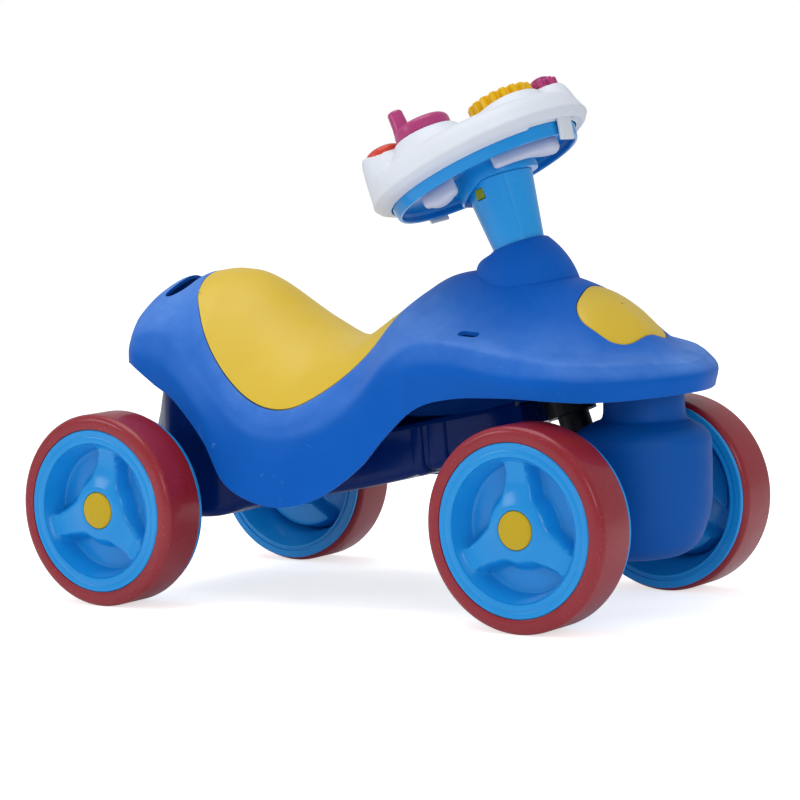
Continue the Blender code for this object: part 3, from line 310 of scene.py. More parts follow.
# The same skin painted pale along its lower rim: a painted highlight on the rounded edge
RIM_HIGHLIGHT_BLUE = plastic("body_blue_painted_rim_highlight", "86ACEA", "A6C2F2", 0.48, 0.10, 0.45, gloss=0.16)

# Half sections round the rider's left side, from the tail's middle to the nose's middle. Each runs
# down from the spine: spine, shoulder, seat edge, crease, side and rim.
SECTIONS = (
    ((-241, 0, 278), (-255, 0, 267), (-265, 0, 252), (-269, 0, 236), (-270, 0, 220), (-269, 0, 206)),
    ((-235, 0, 280), (-246, 24, 268), (-255, 40, 251), (-259, 49, 235), (-260, 54, 220), (-259, 56, 206)),
    ((-225, 0, 282), (-227, 42, 268), (-231, 68, 249), (-232, 82, 234), (-232, 88, 220), (-231, 90, 207)),
    ((-197, 0, 286), (-191, 32, 281), (-175, 62, 267), (-195, 90, 238), (-200, 97, 214), (-199, 99, 191)),
    ((-171, 0, 288), (-167, 42, 278), (-159, 80, 245), (-169, 98, 218), (-171, 104, 198), (-171, 105, 177)),
    ((-141, 0, 281), (-139, 52, 258), (-132, 94, 211), (-131, 107, 186), (-137, 112, 168), (-135, 112, 144)),
    ((-98, 0, 252), (-96, 56, 232), (-93, 101, 178), (-91, 113, 157), (-101, 116, 130), (-107, 117, 106)),
    ((-53, 0, 231), (-53, 58, 214), (-53, 103, 170), (-51, 115, 149), (-51, 119, 118), (-59, 119, 90)),
    ((-15, 0, 233), (-15, 56, 220), (-15, 98, 185), (-5, 113, 160), (-3, 116, 128), (-11, 117, 98)),
    ((21, 0, 255), (21, 48, 242), (19, 83, 212), (29, 109, 184), (33, 112, 158), (31, 112, 124)),
    ((51, 0, 274), (50, 34, 266), (41, 62, 246), (59, 107, 215), (63, 110, 192), (59, 110, 152)),
    ((81, 0, 285), (81, 34, 279), (83, 74, 250), (89, 106, 231), (91, 113, 210), (91, 110, 177)),
    ((132, 0, 287), (132, 36, 280), (133, 78, 243), (131, 110, 233), (131, 116, 212), (131, 113, 187)),
    ((182, 0, 279), (183, 38, 269), (185, 78, 239), (183, 112, 224), (184, 119, 206), (184, 116, 189)),
    ((222, 0, 261), (222, 36, 252), (225, 74, 227), (228, 108, 218), (231, 115, 204), (230, 113, 187)),
    ((256, 0, 231), (254, 34, 224), (252, 64, 218), (250, 92, 215), (257, 98, 202), (255, 97, 185)),
    ((274, 0, 217), (273, 24, 216), (272, 42, 215), (274, 58, 213), (283, 62, 201), (281, 60, 185)),
    ((285, 0, 213), (288, 0, 212), (290, 0, 211), (293, 0, 210), (302, 0, 201), (300, 0, 186)),
)
# How many steps the mesh has from section to section, and from row to row
COLUMN_FINE = 12
ROW_FINE = 8
CREASE_ROW = 3
CREASE_PASSES = 3
# The tail's columns and rows that are smoothed, between the carry slot and the seat's rear corners
TAIL_COLUMNS = (18, 50)
TAIL_ROWS = (2, 20)
TAIL_PASSES = 14
# The seat spans these sections and rows. The well under it is wider by some steps of the mesh.
SEAT_FIRST = 3
SEAT_LAST = 10
SEAT_ROWS = 2
WELL_MARGIN = 2
WELL_MARK = 1
PAD_MARK = 2
OUTLINE_PASSES = 60
SHELL_WALL = 0.003
SHELL_EDGE_ROUND = 0.0009
WELL_WALL = 0.0015
SEAT_RECESS = 0.0028
# A rim's edge bends by more than this, in degrees, and the skin's own creases by less
RIM_BEND = 62.0
# The heights between which the cutters reach
CUT_HEIGHTS = (0.20, 0.30)
CARRY_CUT_HEIGHTS = (0.24, 0.31)
# Each slot's half straight length, the radius of its ends, and whether it lies across the car
CARRY_SLOT_PLACE = (-0.2140, 0.0)
CARRY_SLOT = (0.037, 0.0140, True)
HOOD_SLOT_X = 0.1335
HOOD_SLOT_Y = 0.0875
HOOD_SLOT = (0.0055, 0.0045, False)


def flipped(point):
    return Vector((point.x, -point.y, point.z))


def body_rows():
    """The left half of the skin: a line of points along the car for each row, from the spine down."""
    sections = [[mm(*point) for point in section] for section in SECTIONS]
    lines = []
    for r in range(len(sections[0])):
        line = [section[r] for section in sections]
        lines.append(finer(line, COLUMN_FINE, flipped(line[1]), flipped(line[-2])))
    columns = []
    for c in range(len(lines[0])):
        line = [row[c] for row in lines]
        upper = finer(line[: CREASE_ROW + 1], ROW_FINE, flipped(line[1]))
        lower = finer(line[CREASE_ROW:], ROW_FINE)
        column = upper + lower[1:]
        column[0].y = 0.0
        columns.append(column)
    for column in (columns[0], columns[-1]):
        for point in column:
            point.y = 0.0
    return [[column[r] for column in columns] for r in range(len(columns[0]))]


def round_outline(bm, seat):
    """Draw the seat's outline as one smooth curve on the skin, and draw the mesh round it along."""
    tree = BVHTree.FromBMesh(bm)

    def on_outline(faces):
        return len({face[seat] == PAD_MARK for face in faces}) == 2

    links = {}
    for vert in bm.verts:
        if vert.co.y < 0.0001:
            continue
        if on_outline(vert.link_faces):
            links[vert] = [e.other_vert(vert) for e in vert.link_edges if on_outline(e.link_faces)]
        elif any(face[seat] for face in vert.link_faces) and not vert.is_boundary:
            links[vert] = [e.other_vert(vert) for e in vert.link_edges]
    for _ in range(OUTLINE_PASSES):
        places = []
        for vert, others in links.items():
            places.append((vert, sum((other.co for other in others), Vector()) / len(others)))
        for vert, place in places:
            vert.co = tree.find_nearest(vert.co.lerp(place, 0.5))[0]


def relax(bm, verts, passes):
    axes = {"use_axis_x": True, "use_axis_y": True, "use_axis_z": True}
    for _ in range(passes):
        bmesh.ops.smooth_vert(bm, verts=verts, factor=0.5, **axes)


def face_outwards(bm, upper):
    """Turn an open skin so that its highest face, or its lowest one, looks outwards."""
    bmesh.ops.recalc_face_normals(bm, faces=bm.faces[:])
    pick = max if upper else min
    outer = pick(bm.faces, key=lambda face: face.calc_center_median().z)
    if (outer.normal.z > 0.0) != upper:
        bmesh.ops.reverse_faces(bm, faces=bm.faces[:])


def body_skin():
    """The whole outer skin, and a layer that marks the faces under the seat."""
    bm = sheet(body_rows())
    column_of = bm.verts.layers.int["column"]
    row_of = bm.verts.layers.int["row"]
    crease = CREASE_ROW * ROW_FINE
    relax(bm, [v for v in bm.verts if abs(v[row_of] - crease) <= 1 and v.co.y > 0.001], CREASE_PASSES)
    tail = [v for v in bm.verts if TAIL_COLUMNS[0] <= v[column_of] <= TAIL_COLUMNS[1]]
    relax(bm, [v for v in tail if TAIL_ROWS[0] <= v[row_of] <= TAIL_ROWS[1]], TAIL_PASSES)
    seat = bm.faces.layers.int.new("seat")
    for mark, margin in ((WELL_MARK, WELL_MARGIN), (PAD_MARK, 0)):
        first = SEAT_FIRST * COLUMN_FINE - margin
        last = SEAT_LAST * COLUMN_FINE + margin
        lowest = SEAT_ROWS * ROW_FINE + margin
        for face in bm.faces:
            columns = [v[column_of] for v in face.verts]
            rows = [v[row_of] for v in face.verts]
            if min(columns) >= first and max(columns) <= last and max(rows) <= lowest:
                face[seat] = mark
    round_outline(bm, seat)
    bmesh.ops.mirror(bm, geom=bm.verts[:] + bm.edges[:] + bm.faces[:], axis="Y", merge_dist=0.00001)
    bmesh.ops.remove_doubles(bm, verts=bm.verts[:], dist=0.00001)
    face_outwards(bm, upper=True)
    return bm, seat


SKIN, _ = body_skin()
SKIN_TREE = BVHTree.FromBMesh(SKIN)
SKIN.free()


def skin_height(x, y):
    return SKIN_TREE.ray_cast(Vector((x, y, 0.6)), Vector((0.0, 0.0, -1.0)))[0].z


def slot_ring(centre, half, radius, across):
    """The outline of a slot with round ends, lying across the car or along it."""
    ring = []
    steps = 32
    for i in range(steps + 2):
        left = i <= steps // 2
        angle = 2.0 * math.pi * (i if left else i - 1) / steps
        run = (half if left else -half) + radius * math.sin(angle)
        rise = radius * math.cos(angle)
        x, y = (rise, run) if across else (run, rise)
        ring.append((centre[0] + x, centre[1] + y))
    return ring


# The lamp's outline on the left, from its rear middle to its front middle
LAMP_OUTLINE = ((200, 0), (204, 24), (209, 40), (219, 48), (231, 48), (245, 43), (253, 27), (255, 0))
LAMP_CENTRE_X = 0.229


def lamp_ring(shrink):
    left = [Vector((mm(x), mm(y))) for x, y in LAMP_OUTLINE]
    fine = finer(left, 8, Vector((left[1].x, -left[1].y)), Vector((left[-2].x, -left[-2].y)))
    ring = fine + [Vector((point.x, -point.y)) for point in reversed(fine[1:-1])]
    centre = Vector((LAMP_CENTRE_X, 0.0))
    return [centre + (point - centre) * (1.0 - shrink / (point - centre).length) for point in ring]


def thicken(item, wall, edge=0.0, rim=None, even=True):
    """Give a skin its wall, inwards, and round its rims, in a material of their own if one is given."""
    step = item.modifiers.new("wall", "SOLIDIFY")
    step.thickness = wall
    step.offset = -1.0
    step.use_even_offset = even
    step.use_quality_normals = True
    if edge:
        rounding = item.modifiers.new("rim", "BEVEL")
        rounding.width = edge
        rounding.segments = 3
        rounding.limit_method = "ANGLE"
        rounding.angle_limit = math.radians(RIM_BEND)
        # The rims' material, where one is given, is a painted highlight along the rounded edge.
        if rim:
            item.data.materials.append(rim)
            rounding.material = 1


def make_body():
    """The skin without the faces under the seat, with its wall, its pocket and its slots."""
    bm, seat = body_skin()
    bmesh.ops.delete(bm, geom=[face for face in bm.faces if face[seat] == PAD_MARK], context="FACES")
    body = show(bm, "saddle_body", BODY_BLUE, "body", "body_blue", ["saddle_shell"])
    thicken(body, SHELL_WALL, SHELL_EDGE_ROUND, RIM_HIGHLIGHT_BLUE)
    cut(body, prism([(point.x, point.y) for point in lamp_ring(0.0)], *CUT_HEIGHTS))
    cut(body, prism(slot_ring(CARRY_SLOT_PLACE, *CARRY_SLOT), *CARRY_CUT_HEIGHTS))
    for side in (-1, 1):
        cut(body, prism(slot_ring((HOOD_SLOT_X, side * HOOD_SLOT_Y), *HOOD_SLOT), *CUT_HEIGHTS))
    soften(body)


def make_well():
    """The sunk floor that the seat pad lies on, a little wider than the pad."""
    bm, seat = body_skin()
    bmesh.ops.delete(bm, geom=[face for face in bm.faces if not face[seat]], context="FACES")
    bm.normal_update()
    places = [(vert, vert.co - vert.normal * SEAT_RECESS) for vert in bm.verts]
    for vert, place in places:
        vert.co = place
    well = show(bm, "seat_well", BODY_BLUE, "body", "body_blue")
    thicken(well, WELL_WALL)
    cut(well, prism(slot_ring(CARRY_SLOT_PLACE, *CARRY_SLOT), *CARRY_CUT_HEIGHTS))


make_body()
make_well()


# Seat pad: a thin yellow moulding that snaps into the body's recess, with a rounded edge that is
# painted pale as a highlight

SEAT_THICKNESS = 0.0026
SEAT_EDGE_GAP = 0.0016
SEAT_EDGE_ROUND = 0.0010
# Satin polypropylene, the yellow of the pad and of the lamp
SEAT_YELLOW = plastic("seat_yellow_satin", "D8B41C", "E0BE34", 0.38, 0.12, 0.45, dust_and_top_light=0.10, gloss=0.26)
# The same plastic painted pale along the pad's edge: a painted highlight on the rounded edge
SEAT_RIM_HIGHLIGHT = plastic("seat_yellow_painted_rim_highlight", "E6D884", "EEE2A0", 0.44, 0.10, 0.45, gloss=0.20)


def make_seat():
    bm, seat = body_skin()
    bmesh.ops.delete(bm, geom=[face for face in bm.faces if face[seat] != PAD_MARK], context="FACES")
    border = {vert for vert in bm.verts if vert.is_boundary}
    moves = []
    for vert in border:
        inner = [v.co for face in vert.link_faces for v in face.verts if v not in border]
        middle = sum(inner, Vector()) / len(inner)
        moves.append((vert, (middle - vert.co).normalized() * SEAT_EDGE_GAP))
    for vert, move in moves:
        vert.co += move
    pad = show(bm, "seat_pad_cover", SEAT_YELLOW, "body", "seat_yellow", ["seat_pad"], angle=60.0)
    thicken(pad, SEAT_THICKNESS, SEAT_EDGE_ROUND, SEAT_RIM_HIGHLIGHT, even=False)


make_seat()


# Hood lamp: a solid lens of the seat's yellow plastic, slightly domed, that is pushed into its pocket
# in the hood from above

LAMP_GAP = 0.0008
LAMP_DEPTH = 0.005
LAMP_CROWN = 0.0020
# How far out each ring of points lies, and how far under the domed face
LAMP_ROWS = (
    (0.02, 0.0),
    (0.2, 0.0),
    (0.4, 0.0),
    (0.6, 0.0),
    (0.8, 0.0),
    (0.93, 0.0),
    (0.985, 0.0001),
    (1.0, 0.0006),
    (1.0, LAMP_DEPTH),
    (0.02, LAMP_DEPTH),
)


def make_lamp():
    rows = []
    for share, drop in LAMP_ROWS:
        rows.append([lamp_point(point, share, drop) for point in lamp_ring(LAMP_GAP)])
    show(sheet(rows, ring=True), "hood_lamp_lens", SEAT_YELLOW, "body", "seat_yellow", ["hood_lamp"])


def lamp_point(point, share, drop):
    centre = Vector((LAMP_CENTRE_X, 0.0))
    place = centre + (point - centre) * share
    rise = LAMP_CROWN * (1.0 - share ** 4)
    return Vector((place.x, place.y, skin_height(place.x, place.y) + rise - drop))


make_lamp()


# Turret: the collar of the body that the steering column passes through, a small dome that stands
# on the hood

STEER_TILT = math.radians(18.7)
WHEEL_RADIUS = 0.085
FRONT_AXLE_X = 0.2044
REAR_AXLE_X = -0.2184
STEER_AXIS = Vector((-math.sin(STEER_TILT), 0.0, math.cos(STEER_TILT)))
FRONT_AXLE = Vector((FRONT_AXLE_X, 0.0, WHEEL_RADIUS))
STEER_PLACE = Matrix.Translation(FRONT_AXLE) @ Matrix.Rotation(-STEER_TILT, 4, "Y")
# Radius from the steering axis and height along it, from inside the bore to the collar's shoulder
TURRET_PROFILE = ((22.9, 225.0), (22.9, 233.4), (23.6, 234.2), (24.6, 234.4), (26.2, 233.4))
# The foot stands on the hood: its middle, its radius, how deep it goes in, and the flanks' bulge
TURRET_FOOT = 0.1375
TURRET_FOOT_RADIUS = 0.0440
TURRET_FOOT_DEPTH = 0.0010
TURRET_BULGE = 0.0030
TURRET_ROWS = 12
TURRET_WALL = 0.0020


def full_turn(steps):
    """The angles of a full turn."""
    return [2.0 * math.pi * i / steps for i in range(steps)]


def ring_point(radius, angle, height):
    return Vector((radius * math.cos(angle), radius * math.sin(angle), height))


def make_turret(steps=128):
    angles = full_turn(steps)
    rows = []
    for radius, height in TURRET_PROFILE:
        rows.append([STEER_PLACE @ ring_point(mm(radius), angle, mm(height)) for angle in angles])
    shoulder = rows[-1]
    foot = []
    for angle in angles:
        x = TURRET_FOOT + TURRET_FOOT_RADIUS * math.cos(angle)
        y = TURRET_FOOT_RADIUS * math.sin(angle)
        foot.append(Vector((x, y, skin_height(x, y) - TURRET_FOOT_DEPTH)))
    for k in range(1, TURRET_ROWS + 1):
        share = k / TURRET_ROWS
        bulge = TURRET_BULGE * 4.0 * share * (1.0 - share)
        row = []
        for angle, high, low in zip(angles, shoulder, foot):
            row.append(high.lerp(low, share) + ring_point(1.0, angle, 0.6) * bulge)
        rows.append(row)
    turret = show(sheet(rows, ring=True), "body_turret", BODY_BLUE, "body", "body_blue", angle=60.0)
    thicken(turret, TURRET_WALL)


make_turret()


# Chassis tray: a glossy pan under the body, in a dark navy that is painted shade, with a turned-out
# lip along its rim and two stiffening bands round its front third. The body screws down onto its posts.

# Glossy polypropylene, painted a dark navy that stands in for the shade under the body: painted shade
CHASSIS_PAINTED_SHADE = plastic("chassis_pan_painted_shade_gloss", "002264", "042C6E", 0.24, 0.04, 0.30, gloss=0.14)

# Place along the car, half width, floor height and rim height
TRAY_STATIONS = (
    (-254, 44, 104, 196),
    (-249, 54, 86, 201),
    (-238, 69, 73, 203),
    (-220, 80, 70, 203),
    (-172, 86, 70, 199),
    (-150, 84, 72, 178),
    (-132, 74, 78, 158),
    (-95, 64, 86, 150),
    (-32, 60, 95, 147),
    (35, 58, 109, 152),
    (85, 54, 127, 162),
    (128, 44, 148, 170),
    (147, 34, 157, 175),
)
TRAY_WALL = 0.003
TRAY_FLANGE = 0.006
TRAY_CORNER = 0.012
# The sides lean in by this much, from the middle of their height to the floor
TRAY_LEAN = 0.002
# Behind the rear axle the rim narrows towards the tail, from this place at this rate, down to this
# half width
TAIL_POINT = 0.262
TAIL_FLARE = 1.35
TAIL_NARROWEST = 0.012


def tray_station(x):
    """Half width, floor and rim of the tray at a place along the car."""
    rows = [Vector(row[1:]) for row in TRAY_STATIONS]
    for i in range(len(rows) - 1):
        first, second = TRAY_STATIONS[i][0], TRAY_STATIONS[i + 1][0]
        if first <= x <= second:
            before = rows[max(i - 1, 0)]
            after = rows[min(i + 2, len(rows) - 1)]
            share = (x - first) / (second - first)
            return spline(before, rows[i], rows[i + 1], after, share) / 1000.0
    return rows[-1] / 1000.0


def tray_line(x, proud=0.0, lip=True):
    """Points of one cross section, from the right lip under the floor to the left lip."""
    half, floor, rim = tray_station(x)
    corner = min(TRAY_CORNER, (rim - floor) * 0.4)
    top = min(half, max(TAIL_NARROWEST, (mm(x) + TAIL_POINT) * TAIL_FLARE))
    left = []
    if lip:
        edge = top + TRAY_FLANGE
        left += [(edge, rim - 0.0012), (edge - 0.0004, rim), (top + 0.0006, rim)]
    side = half + proud
    foot = side - TRAY_LEAN
    under = floor - proud
    middle = (top + half) / 2.0 + proud
    left += [(top + proud, rim - 0.0008), (middle - 0.0012, (rim + floor + corner) / 2.0)]
    left += [(foot, under + corner)]
    for k in range(1, 6):
        angle = math.radians(90.0 * k / 6.0)
        y = foot - corner * (1.0 - math.cos(angle))
        left.append((y, under + corner * (1.0 - math.sin(angle))))
    left += [(foot - corner, under), ((side - corner) * 0.5, under)]
    whole = left + [(0.0, under)] + [(-y, z) for y, z in reversed(left)]
    return [Vector((mm(x), y, z)) for y, z in whole]


def make_tray():
    places = []
    for first, second in zip(TRAY_STATIONS, TRAY_STATIONS[1:]):
        count = max(2, round((second[0] - first[0]) / 6))
        places += [first[0] + (second[0] - first[0]) * k / count for k in range(count)]
    places.append(TRAY_STATIONS[-1][0])
    bm = sheet([tray_line(x) for x in places])
    column_of = bm.verts.layers.int["column"]
    row_of = bm.verts.layers.int["row"]
    last = len(tray_line(0.0)) - 1
    for row in (0, len(places) - 1):
        end = [v for v in bm.verts if v[row_of] == row and 3 <= v[column_of] <= last - 3]
        bm.faces.new(sorted(end, key=lambda v: v[column_of]))
    face_outwards(bm, upper=False)
    bmesh.ops.solidify(bm, geom=bm.faces[:], thickness=TRAY_WALL)
    bmesh.ops.recalc_face_normals(bm, faces=bm.faces[:])
    show(bm, "chassis_pan", CHASSIS_PAINTED_SHADE, "body", "chassis_navy", ["chassis_tray"])


def make_band(name, start, end):
    """A raised band round the tray's sides and floor, with rounded borders."""
    steps = ((0.0, 0.0), (0.4, 1.4), (1.4, 2.2), (2.6, 2.4))
    places = [(start + step, proud) for step, proud in steps]
    places += [(end - step, proud) for step, proud in reversed(steps)]
    bm = sheet([tray_line(x, proud / 1000.0 + 0.0001, lip=False) for x, proud in places])
    show(bm, name, CHASSIS_PAINTED_SHADE, "body", "chassis_navy")


make_tray()
make_band("chassis_band_rear", 50, 61)
make_band("chassis_band_front", 66, 84)


# Wheels: a light-blue rim moulding with three broad scooped spokes, an inner flange and a hub
# sleeve, a red tyre held between rim face and flange, and a yellow cap that hides the axle's end

# Glossy polypropylene of the rims, the column and the console's base
SKY_BLUE = plastic("sky_blue_gloss", "128EDA", "34A4E8", 0.22, 0.04, 0.35, coat=0.12)
# Semi-soft compound of the tyres, with a fine pale bloom
TYRE_RED = plastic("tyre_red_compound", "8C1A26", "A02E3A", 0.36, 0.22, 0.45, coat=0.30, speckle=0.35)
# Satin hub caps, a little duller than the seat
CAP_YELLOW = plastic("cap_yellow_satin", "C4A41A", "D0B22C", 0.40, 0.12, 0.40, gloss=0.20)

WHEEL_WIDTH = 0.050
RIM_FACE = 0.0716
BARREL = 0.0745
FLANGE = 0.0815
FLANGE_WIDTH = 0.004
BAND = 0.0595
RIM_WALL = 0.003
POCKET_DEPTH = 0.0215
CAP_RADIUS = 0.016
AXLE_BORE = 0.00435
WHEEL_STEPS = 144
SLEEVE_GAP = 0.0003
# For each axle: how far out its wheels' faces lie, where their hub sleeves stop, and the angle of
# the first spoke
REAR_WHEELS = (0.164, 0.0805, 78.0)
FRONT_WHEELS = (0.140, 0.0545, 90.0)


def face_depth(radius, angle, phase):
    """How far the spoked face lies behind the rim's outer edge."""
    third = 2.0 * math.pi / 3.0
    from_spoke = (angle - phase + third / 2.0) % third - third / 2.0
    off = radius * math.sin(abs(from_spoke))
    bowl = min(1.0, max(0.0, (radius - 0.020) / 0.040))
    scoop = 0.0040 + 0.0045 * math.sin(math.pi * bowl)
    half = 0.0085 + 0.0045 * smooth_step(0.050, 0.026, radius)
    beside = smooth_step(half, half + 0.0075, off)
    away = smooth_step(0.0255, 0.0345, radius)
    within = 1.0 - smooth_step(0.0525, 0.0590, radius)
    spoke = scoop * (1.0 - smooth_step(0.056, BAND, radius))
    return spoke + beside * away * within * (POCKET_DEPTH - scoop)


def rim_profile(angle, phase, sleeve):
    """Radius and depth round one cut through the rim."""
    back = WHEEL_WIDTH
    line = [(AXLE_BORE, 0.0097), (0.0163, 0.0097), (0.0163, 0.0046), (0.0168, 0.0040)]
    line += [(r, face_depth(r, angle, phase)) for r in face_radii()]
    line += [(BAND, 0.0012), (BAND + 0.0006, 0.0003), (BAND + 0.0018, 0.0)]
    line += [(0.0655, 0.0), (0.0660, 0.0003), (0.0665, 0.0), (RIM_FACE - 0.0008, 0.0)]
    line += [(RIM_FACE, 0.0008), (RIM_FACE, 0.003), (BARREL, 0.004), (BARREL, back - FLANGE_WIDTH)]
    line += [(FLANGE - 0.0006, back - FLANGE_WIDTH), (FLANGE, back - FLANGE_WIDTH + 0.0006)]
    line += [(FLANGE, back - 0.0008), (FLANGE - 0.0008, back), (0.0752, back)]
    line += [(0.0746, back - 0.0012), (0.0730, back - 0.0012), (0.0724, back), (0.0705, back)]
    line += [(0.0698, back - 0.001), (0.0670, 0.036), (0.0625, 0.029)]
    for radius in reversed(face_radii(0.0190)):
        line.append((radius, face_depth(radius, angle, phase) + RIM_WALL + 0.0005))
    line += [(0.0140, 0.0105), (0.0125, 0.0125), (0.0120, sleeve - 0.0008), (0.0114, sleeve)]
    line += [(AXLE_BORE, sleeve)]
    return line + [line[0]]


def face_radii(start=0.0180):
    return [start + (0.0588 - start) * k / 22.0 for k in range(23)]


def wheel_place(x, side, outer):
    """X forward, Y up, and Z inwards from the wheel's outer face."""
    axes = Matrix(((1.0, 0.0, 0.0), (0.0, 0.0, -side), (0.0, 1.0, 0.0)))
    return Matrix.Translation((x, side * outer, WHEEL_RADIUS)) @ axes.to_4x4()


def make_rim(name, place, sleeve, phase, body):
    angles = full_turn(WHEEL_STEPS)
    cuts = [rim_profile(angle, phase, sleeve) for angle in angles]
    rows = []
    for points in zip(*cuts):
        rows.append([place @ ring_point(point[0], angle, point[1]) for point, angle in zip(points, angles)])
    show(sheet(rows, ring=True), name + "_rim_face", SKY_BLUE, body, "sky_blue", [name + "_rim"])


def turned(name, profile, place, material, body, slot, replaced=(), steps=96, angle=40.0):
    """A piece spun about the Z of a place, from a line of points of (radius, height)."""
    bm = bmesh.new()
    points = [bm.verts.new((radius, 0.0, height)) for radius, height in profile]
    edges = [bm.edges.new(pair) for pair in zip(points, points[1:])]
    bmesh.ops.spin(
        bm,
        geom=points + edges,
        cent=(0.0, 0.0, 0.0),
        axis=(0.0, 0.0, 1.0),
        angle=2.0 * math.pi,
        steps=steps,
        use_merge=True,
    )
    bmesh.ops.remove_doubles(bm, verts=bm.verts[:], dist=0.000001)
    bm.transform(place)
    bm.normal_update()
    bmesh.ops.recalc_face_normals(bm, faces=bm.faces[:])
    show(bm, name, material, body, slot, replaced, angle)


def quarter(steps=8):
    """The sine and cosine of the angles that round a corner."""
    angles = [math.radians(90.0 * k / steps) for k in range(steps + 1)]
    return [(math.sin(angle), math.cos(angle)) for angle in angles]


def tyre_profile(corner=0.0062):
    inner = WHEEL_WIDTH - FLANGE_WIDTH - 0.0003
    line = [(RIM_FACE + 0.0003, 0.0012), (RIM_FACE + 0.0006, 0.0003), (RIM_FACE + 0.0014, 0.0)]
    for rise, run in quarter():
        line.append((WHEEL_RADIUS - corner * (1.0 - rise), corner * (1.0 - run)))
    for rise, run in quarter():
        line.append((WHEEL_RADIUS - corner * (1.0 - run), inner - corner * (1.0 - rise)))
    line += [(BARREL + 0.0006, inner), (BARREL + 0.0003, inner - 0.0005), (BARREL + 0.0003, 0.0040)]
    line += [(RIM_FACE + 0.0003, 0.0030)]
    return line + [line[0]]


CAP_PROFILE = (
    (0.0002, 0.00215),
    (0.0060, 0.0022),
    (0.0120, 0.0026),
    (0.0148, 0.0031),
    (0.0157, 0.0037),
    (CAP_RADIUS, 0.0044),
    (CAP_RADIUS, 0.0080),
    (0.0002, 0.0080),
)


def make_wheel(name, x, side, outer, stop, phase):
    """A wheel from its outer face inwards. Its hub sleeve ends just short of the stop."""
    body = name + "_wheel"
    place = wheel_place(x, side, outer)
    make_rim(name, place, outer - stop - SLEEVE_GAP, math.radians(phase), body)
    for part, profile, material, slot, node in (
        ("_tyre_ring", tyre_profile(), TYRE_RED, "tyre_red", "_tyre"),
        ("_cap", CAP_PROFILE, CAP_YELLOW, "cap_yellow", "_hub_cap"),
    ):
        turned(name + part, profile, place, material, body, slot, [name + node], WHEEL_STEPS, 50.0)


make_wheel("rear_right", REAR_AXLE_X, -1.0, *REAR_WHEELS)
make_wheel("rear_left", REAR_AXLE_X, 1.0, *REAR_WHEELS)
make_wheel("front_right", FRONT_AXLE_X, -1.0, *FRONT_WHEELS)
make_wheel("front_left", FRONT_AXLE_X, 1.0, *FRONT_WHEELS)


# Front fairing: a round-bottomed bucket that hides the steering fork, with a shoulder and a neck
# that passes up under the nose. It turns with the front wheels.

# The body's blue plastic, without its paled top and pale rim, made a shade darker as painted shade under the
# nose
FAIRING_SHADED_BLUE = plastic("fairing_blue_painted_shade_satin", "0052A6", "0A5EB6", 0.50, 0.16, 0.40, gloss=0.16)

# Height, middle along the car, half length and half width
FAIRING_SLICES = (
    (46, 236, 26, 26),
    (50, 236, 42, 36),
    (62, 236, 56, 46),
    (88, 236, 66, 53),
    (112, 236.5, 67, 54.5),
    (134, 240, 63.5, 54.5),
    (146, 243, 60, 53),
    (154, 245, 53, 47),
    (160, 246, 42, 39),
    (165, 247, 35, 34),
    (184, 247, 34, 33),
)
# How its neck turns in: how far down and how far inwards each ring lies
FAIRING_LIP = ((0.5, 0.6), (0.5, 2.4), (6.0, 3.0))


def fairing_row(z, x, length, width, steps=96):
    return [mm(x + length * math.cos(a), width * math.sin(a), z) for a in full_turn(steps)]


def make_fairing():
    fine = finer([Vector(row) for row in FAIRING_SLICES], 5)
    rows = [fairing_row(fine[0][0], fine[0][1], 1.0, 1.0)]
    rows += [fairing_row(*station) for station in fine]
    z, x, length, width = fine[-1]
    rows += [fairing_row(z + 0.5 - drop, x, length - wall, width - wall) for drop, wall in FAIRING_LIP]
    bucket = sheet(rows, ring=True)
    show(bucket, "fairing_bucket", FAIRING_SHADED_BLUE, "steering", "body_blue", ["front_fairing"])


make_fairing()


# Column cover: a tapering light-blue sleeve over the steering tube, with a slim moulding ridge and
# a window for the square catch

# The rims' plastic, made a shade lighter as painted light on the column
COLUMN_LIT_BLUE = plastic("column_blue_painted_light_gloss", "1C9AE4", "3AA6EA", 0.24, 0.04, 0.35, coat=0.12)

# Heights along the steering axis, and the radius at each
COLUMN_LOW = 0.2250
COLUMN_TOP = 0.2925
COLUMN_LOW_RADIUS = 0.0210
COLUMN_TOP_RADIUS = 0.0300
COLUMN_BORE = 0.0142
RIDGE_ANGLE = math.radians(-50.0)
CATCH_WINDOW = (0.0096, 0.009, 0.0096)


def column_radius(height):
    flare = COLUMN_TOP_RADIUS - COLUMN_LOW_RADIUS
    return COLUMN_LOW_RADIUS + flare * (height - COLUMN_LOW) / (COLUMN_TOP - COLUMN_LOW)


def column_ridges(angle, height):
    """A slim ridge up the front, and short ribs under the catch."""
    fade = smooth_step(0.238, 0.246, height)
    made = 0.0007 * math.exp(-(((angle - RIDGE_ANGLE) / 0.035) ** 2)) * fade
    for k in range(3):
        place = math.radians(-96.0 + 7.0 * k)
        made += 0.0004 * math.exp(-(((angle - place) / 0.020) ** 2)) * smooth_step(0.262, 0.268, height)
    return made


